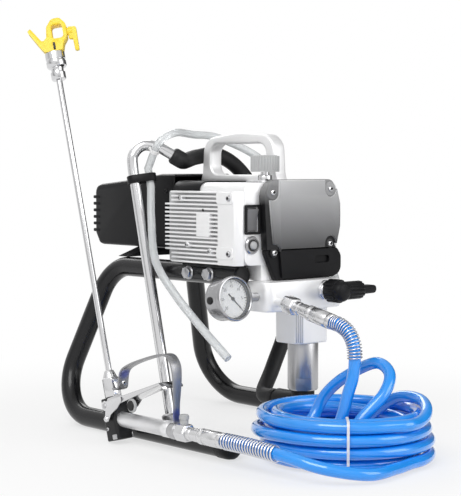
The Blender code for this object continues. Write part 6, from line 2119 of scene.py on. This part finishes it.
@dataclass
class SuctionSet:
    """The steel gooseneck, its strainer and clip, and the suction and drain hoses."""

    pipe_r: float = 0.0068
    pipe_top: Triple = (-0.140, 0.1635, 0.334)
    pipe_foot: Triple = (-0.140, 0.090, 0.030)
    neck: Triples = ((-0.1385, 0.1645, 0.350), (-0.127, 0.159, 0.362), (-0.110, 0.148, 0.360))
    pipe_end: Triple = (-0.095, 0.139, 0.350)
    strainer_r: float = 0.0115
    strainer_len: float = 0.028
    suction_r: float = 0.010
    drain_r: float = 0.0050
    clip_share: float = 0.95
    clip_run: float = 0.012
    drain_side: Triple = (0.0150, -0.0110, 0.00266)
    arm_end: Triple = (-0.0144, 0.0283, 0.0432)
    drain_start: Triple = (0.0183, -0.026, 0.181)
    suction_line: Triples = (
        (-0.040, 0.156, 0.348), (0.004, 0.162, 0.350), (0.038, 0.150, 0.324), (0.060, 0.118, 0.256),
        (0.064, 0.092, 0.190), (0.054, 0.082, 0.130), (0.022, 0.076, 0.074), (-0.008, 0.062, 0.046))
    drain_up: Triples = (
        (0.034, -0.026, 0.181), (0.056, 0.000, 0.200), (0.062, 0.052, 0.268), (0.042, 0.108, 0.338),
        (0.000, 0.152, 0.3720), (-0.050, 0.152, 0.3770), (-0.096, 0.134, 0.378), (-0.121, 0.135, 0.365))
    drain_down: Triples = (
        (-0.134, 0.134, 0.270), (-0.150, 0.106, 0.219), (-0.155, 0.062, 0.180), (-0.154, 0.018, 0.146),
        (-0.150, -0.028, 0.111))

    def build(self) -> None:
        """Build the pipe, both hoses and what holds them."""
        foot, top = at(*self.pipe_foot), at(*self.pipe_top)
        rise = [foot.lerp(top, share) for share in (0.0, 0.5, 0.9, 1.0)]
        end = at(*self.pipe_end)
        points = [*rise, *spread(self.neck)]
        tube("suction_pipe_polished", [*smooth_route(points, 0.004), end], self.pipe_r, CHROME,
             ("suction_pipe",), 12)
        slant = (foot - top).normalized()
        self.strainer(foot, slant)
        self.suction(end, (end - points[-1]).normalized())
        self.drain(foot.lerp(top, self.clip_share), slant)
        restyle("tube_clip", SHELL, 0.0006)

    def strainer(self, foot: Vector, slant: Vector) -> None:
        """Build the strainer's ringed cage.

        Args:
            foot: the pipe's lower end.
            slant: the way down along the pipe.
        """
        r, length = self.strainer_r, self.strainer_len
        profile = [(0.0, length), (r * 0.78, length), (r, length - 0.003)]
        for index in range(5):
            groove = length - 0.0060 - index * 0.0036
            profile += [(r, groove + 0.0010), (r - 0.0011, groove + 0.0006), (r - 0.0011, groove - 0.0006),
                        (r, groove - 0.0010)]
        profile += [(r, 0.002), (r - 0.002, 0.0), (0.0, 0.0)]
        Shape().spin(profile, seat(foot + slant * GAP, slant)).piece(
            "strainer_cage", STEEL, replaces=("suction_strainer",))

    def suction(self, end: Vector, heading: Vector) -> None:
        """Lay the black suction hose from the pipe to the inlet elbow.

        Args:
            end: the pipe's end.
            heading: the way that the pipe ends.
        """
        arm = at(*self.arm_end)
        points = [end + heading * GAP, end + heading * 0.008, end + heading * 0.016,
                  *spread(self.suction_line), arm + Vector((0, 0.014, 0)), arm]
        route = smooth_route(points, 0.004)
        hose = tube("suction_hose_rubber", route, self.suction_r, RUBBER, ("suction_hose",), 12)
        r = self.suction_r
        cuff = [(self.pipe_r + GAP, 0.0), (r * 0.86, 0.0), (r + 0.0002, 0.0016), (r + 0.0008, 0.0040),
                (r + 0.0008, 0.0150), (r + 0.0001, 0.0170), (r - 0.0004, 0.0170), (r - 0.0004, 0.0020)]
        lip = Shape().spin(cuff, seat(end - heading * 0.0010, heading)).piece("suction_cuff", RUBBER)
        ring = [(r - 0.0002, 0.004), (r + 0.0008, 0.0038), (r + 0.0010, 0.0030), (r + 0.0010, -0.0030),
                (r + 0.0008, -0.0038), (r - 0.0002, -0.004)]
        spot = seat(arm + Vector((0, 0.008, 0)), Vector((0, 1, 0)))
        band = Shape().spin(ring, spot)
        band.box((0.0060, 0.0030, 0.0050), along_axes(spot, 0, -r - 0.0014, 0), 0.0008)
        bands = [lip, band.piece("suction_clamp", PLUG_BLACK)]

    def drain(self, clip: Vector, slant: Vector) -> None:
        """Lay the clear drain hose from the manifold through the clip to its free end.

        Args:
            clip: the clip's place on the pipe.
            slant: the way down along the pipe.
        """
        side = Vector(self.drain_side)
        before = [*spread(self.drain_up), clip + side - slant * self.clip_run]
        after = [clip + side + slant * self.clip_run, *spread(self.drain_down)]
        start = at(*self.drain_start)
        route = [start, *smooth_route(before, 0.006), *smooth_route(after, 0.006)]
        hose = tube("drain_hose_clear", route, self.drain_r, DRAIN_CLEAR, ("drain_hose",), 10)
        near = min(range(len(route)), key=lambda k: (route[k] - before[-1]).length) - 4
        spot, along = route[near], (route[near + 1] - route[near]).normalized()
        r = self.drain_r
        ring = [(r, 0.0022), (r + 0.0010, 0.0020), (r + 0.0012, 0.0), (r + 0.0010, -0.0020), (r, -0.0022)]
        tie = Shape().spin(ring, seat(spot, along), 32)
        tie.box((0.0040, 0.0052, 0.0036), along_axes(seat(spot, along), 0, r + 0.0024, 0), 0.0006)
        collar = [(0.0, 0.0090), (r + 0.0001, 0.0090), (r + 0.0016, 0.0080), (r + 0.0020, 0.0), (0.0, 0.0)]
        nut = Shape().spin(collar, seat(start, Vector((1, 0, 0))), 6).piece("drain_nut", STEEL)
        tie.piece("drain_tie", TIE_WHITE)


def main() -> None:
    """Set up the studio and build every sub-assembly in order."""
    logging.basicConfig(level=logging.INFO, format="%(name)s: %(message)s")
    for part in (Studio(), PaintHose(), SuctionSet(), SkidFrame(), DriveHousing(), ControlSide(),
                 FrontCover(), CarryHandle(), PressureKnob(), MotorCover(), FluidEnd(), Gauge(),
                 PrimeValve(), SprayGun()):
        LOG.info("building %s", type(part).__name__)
        part.build()


if __name__ == "__main__":
    main()
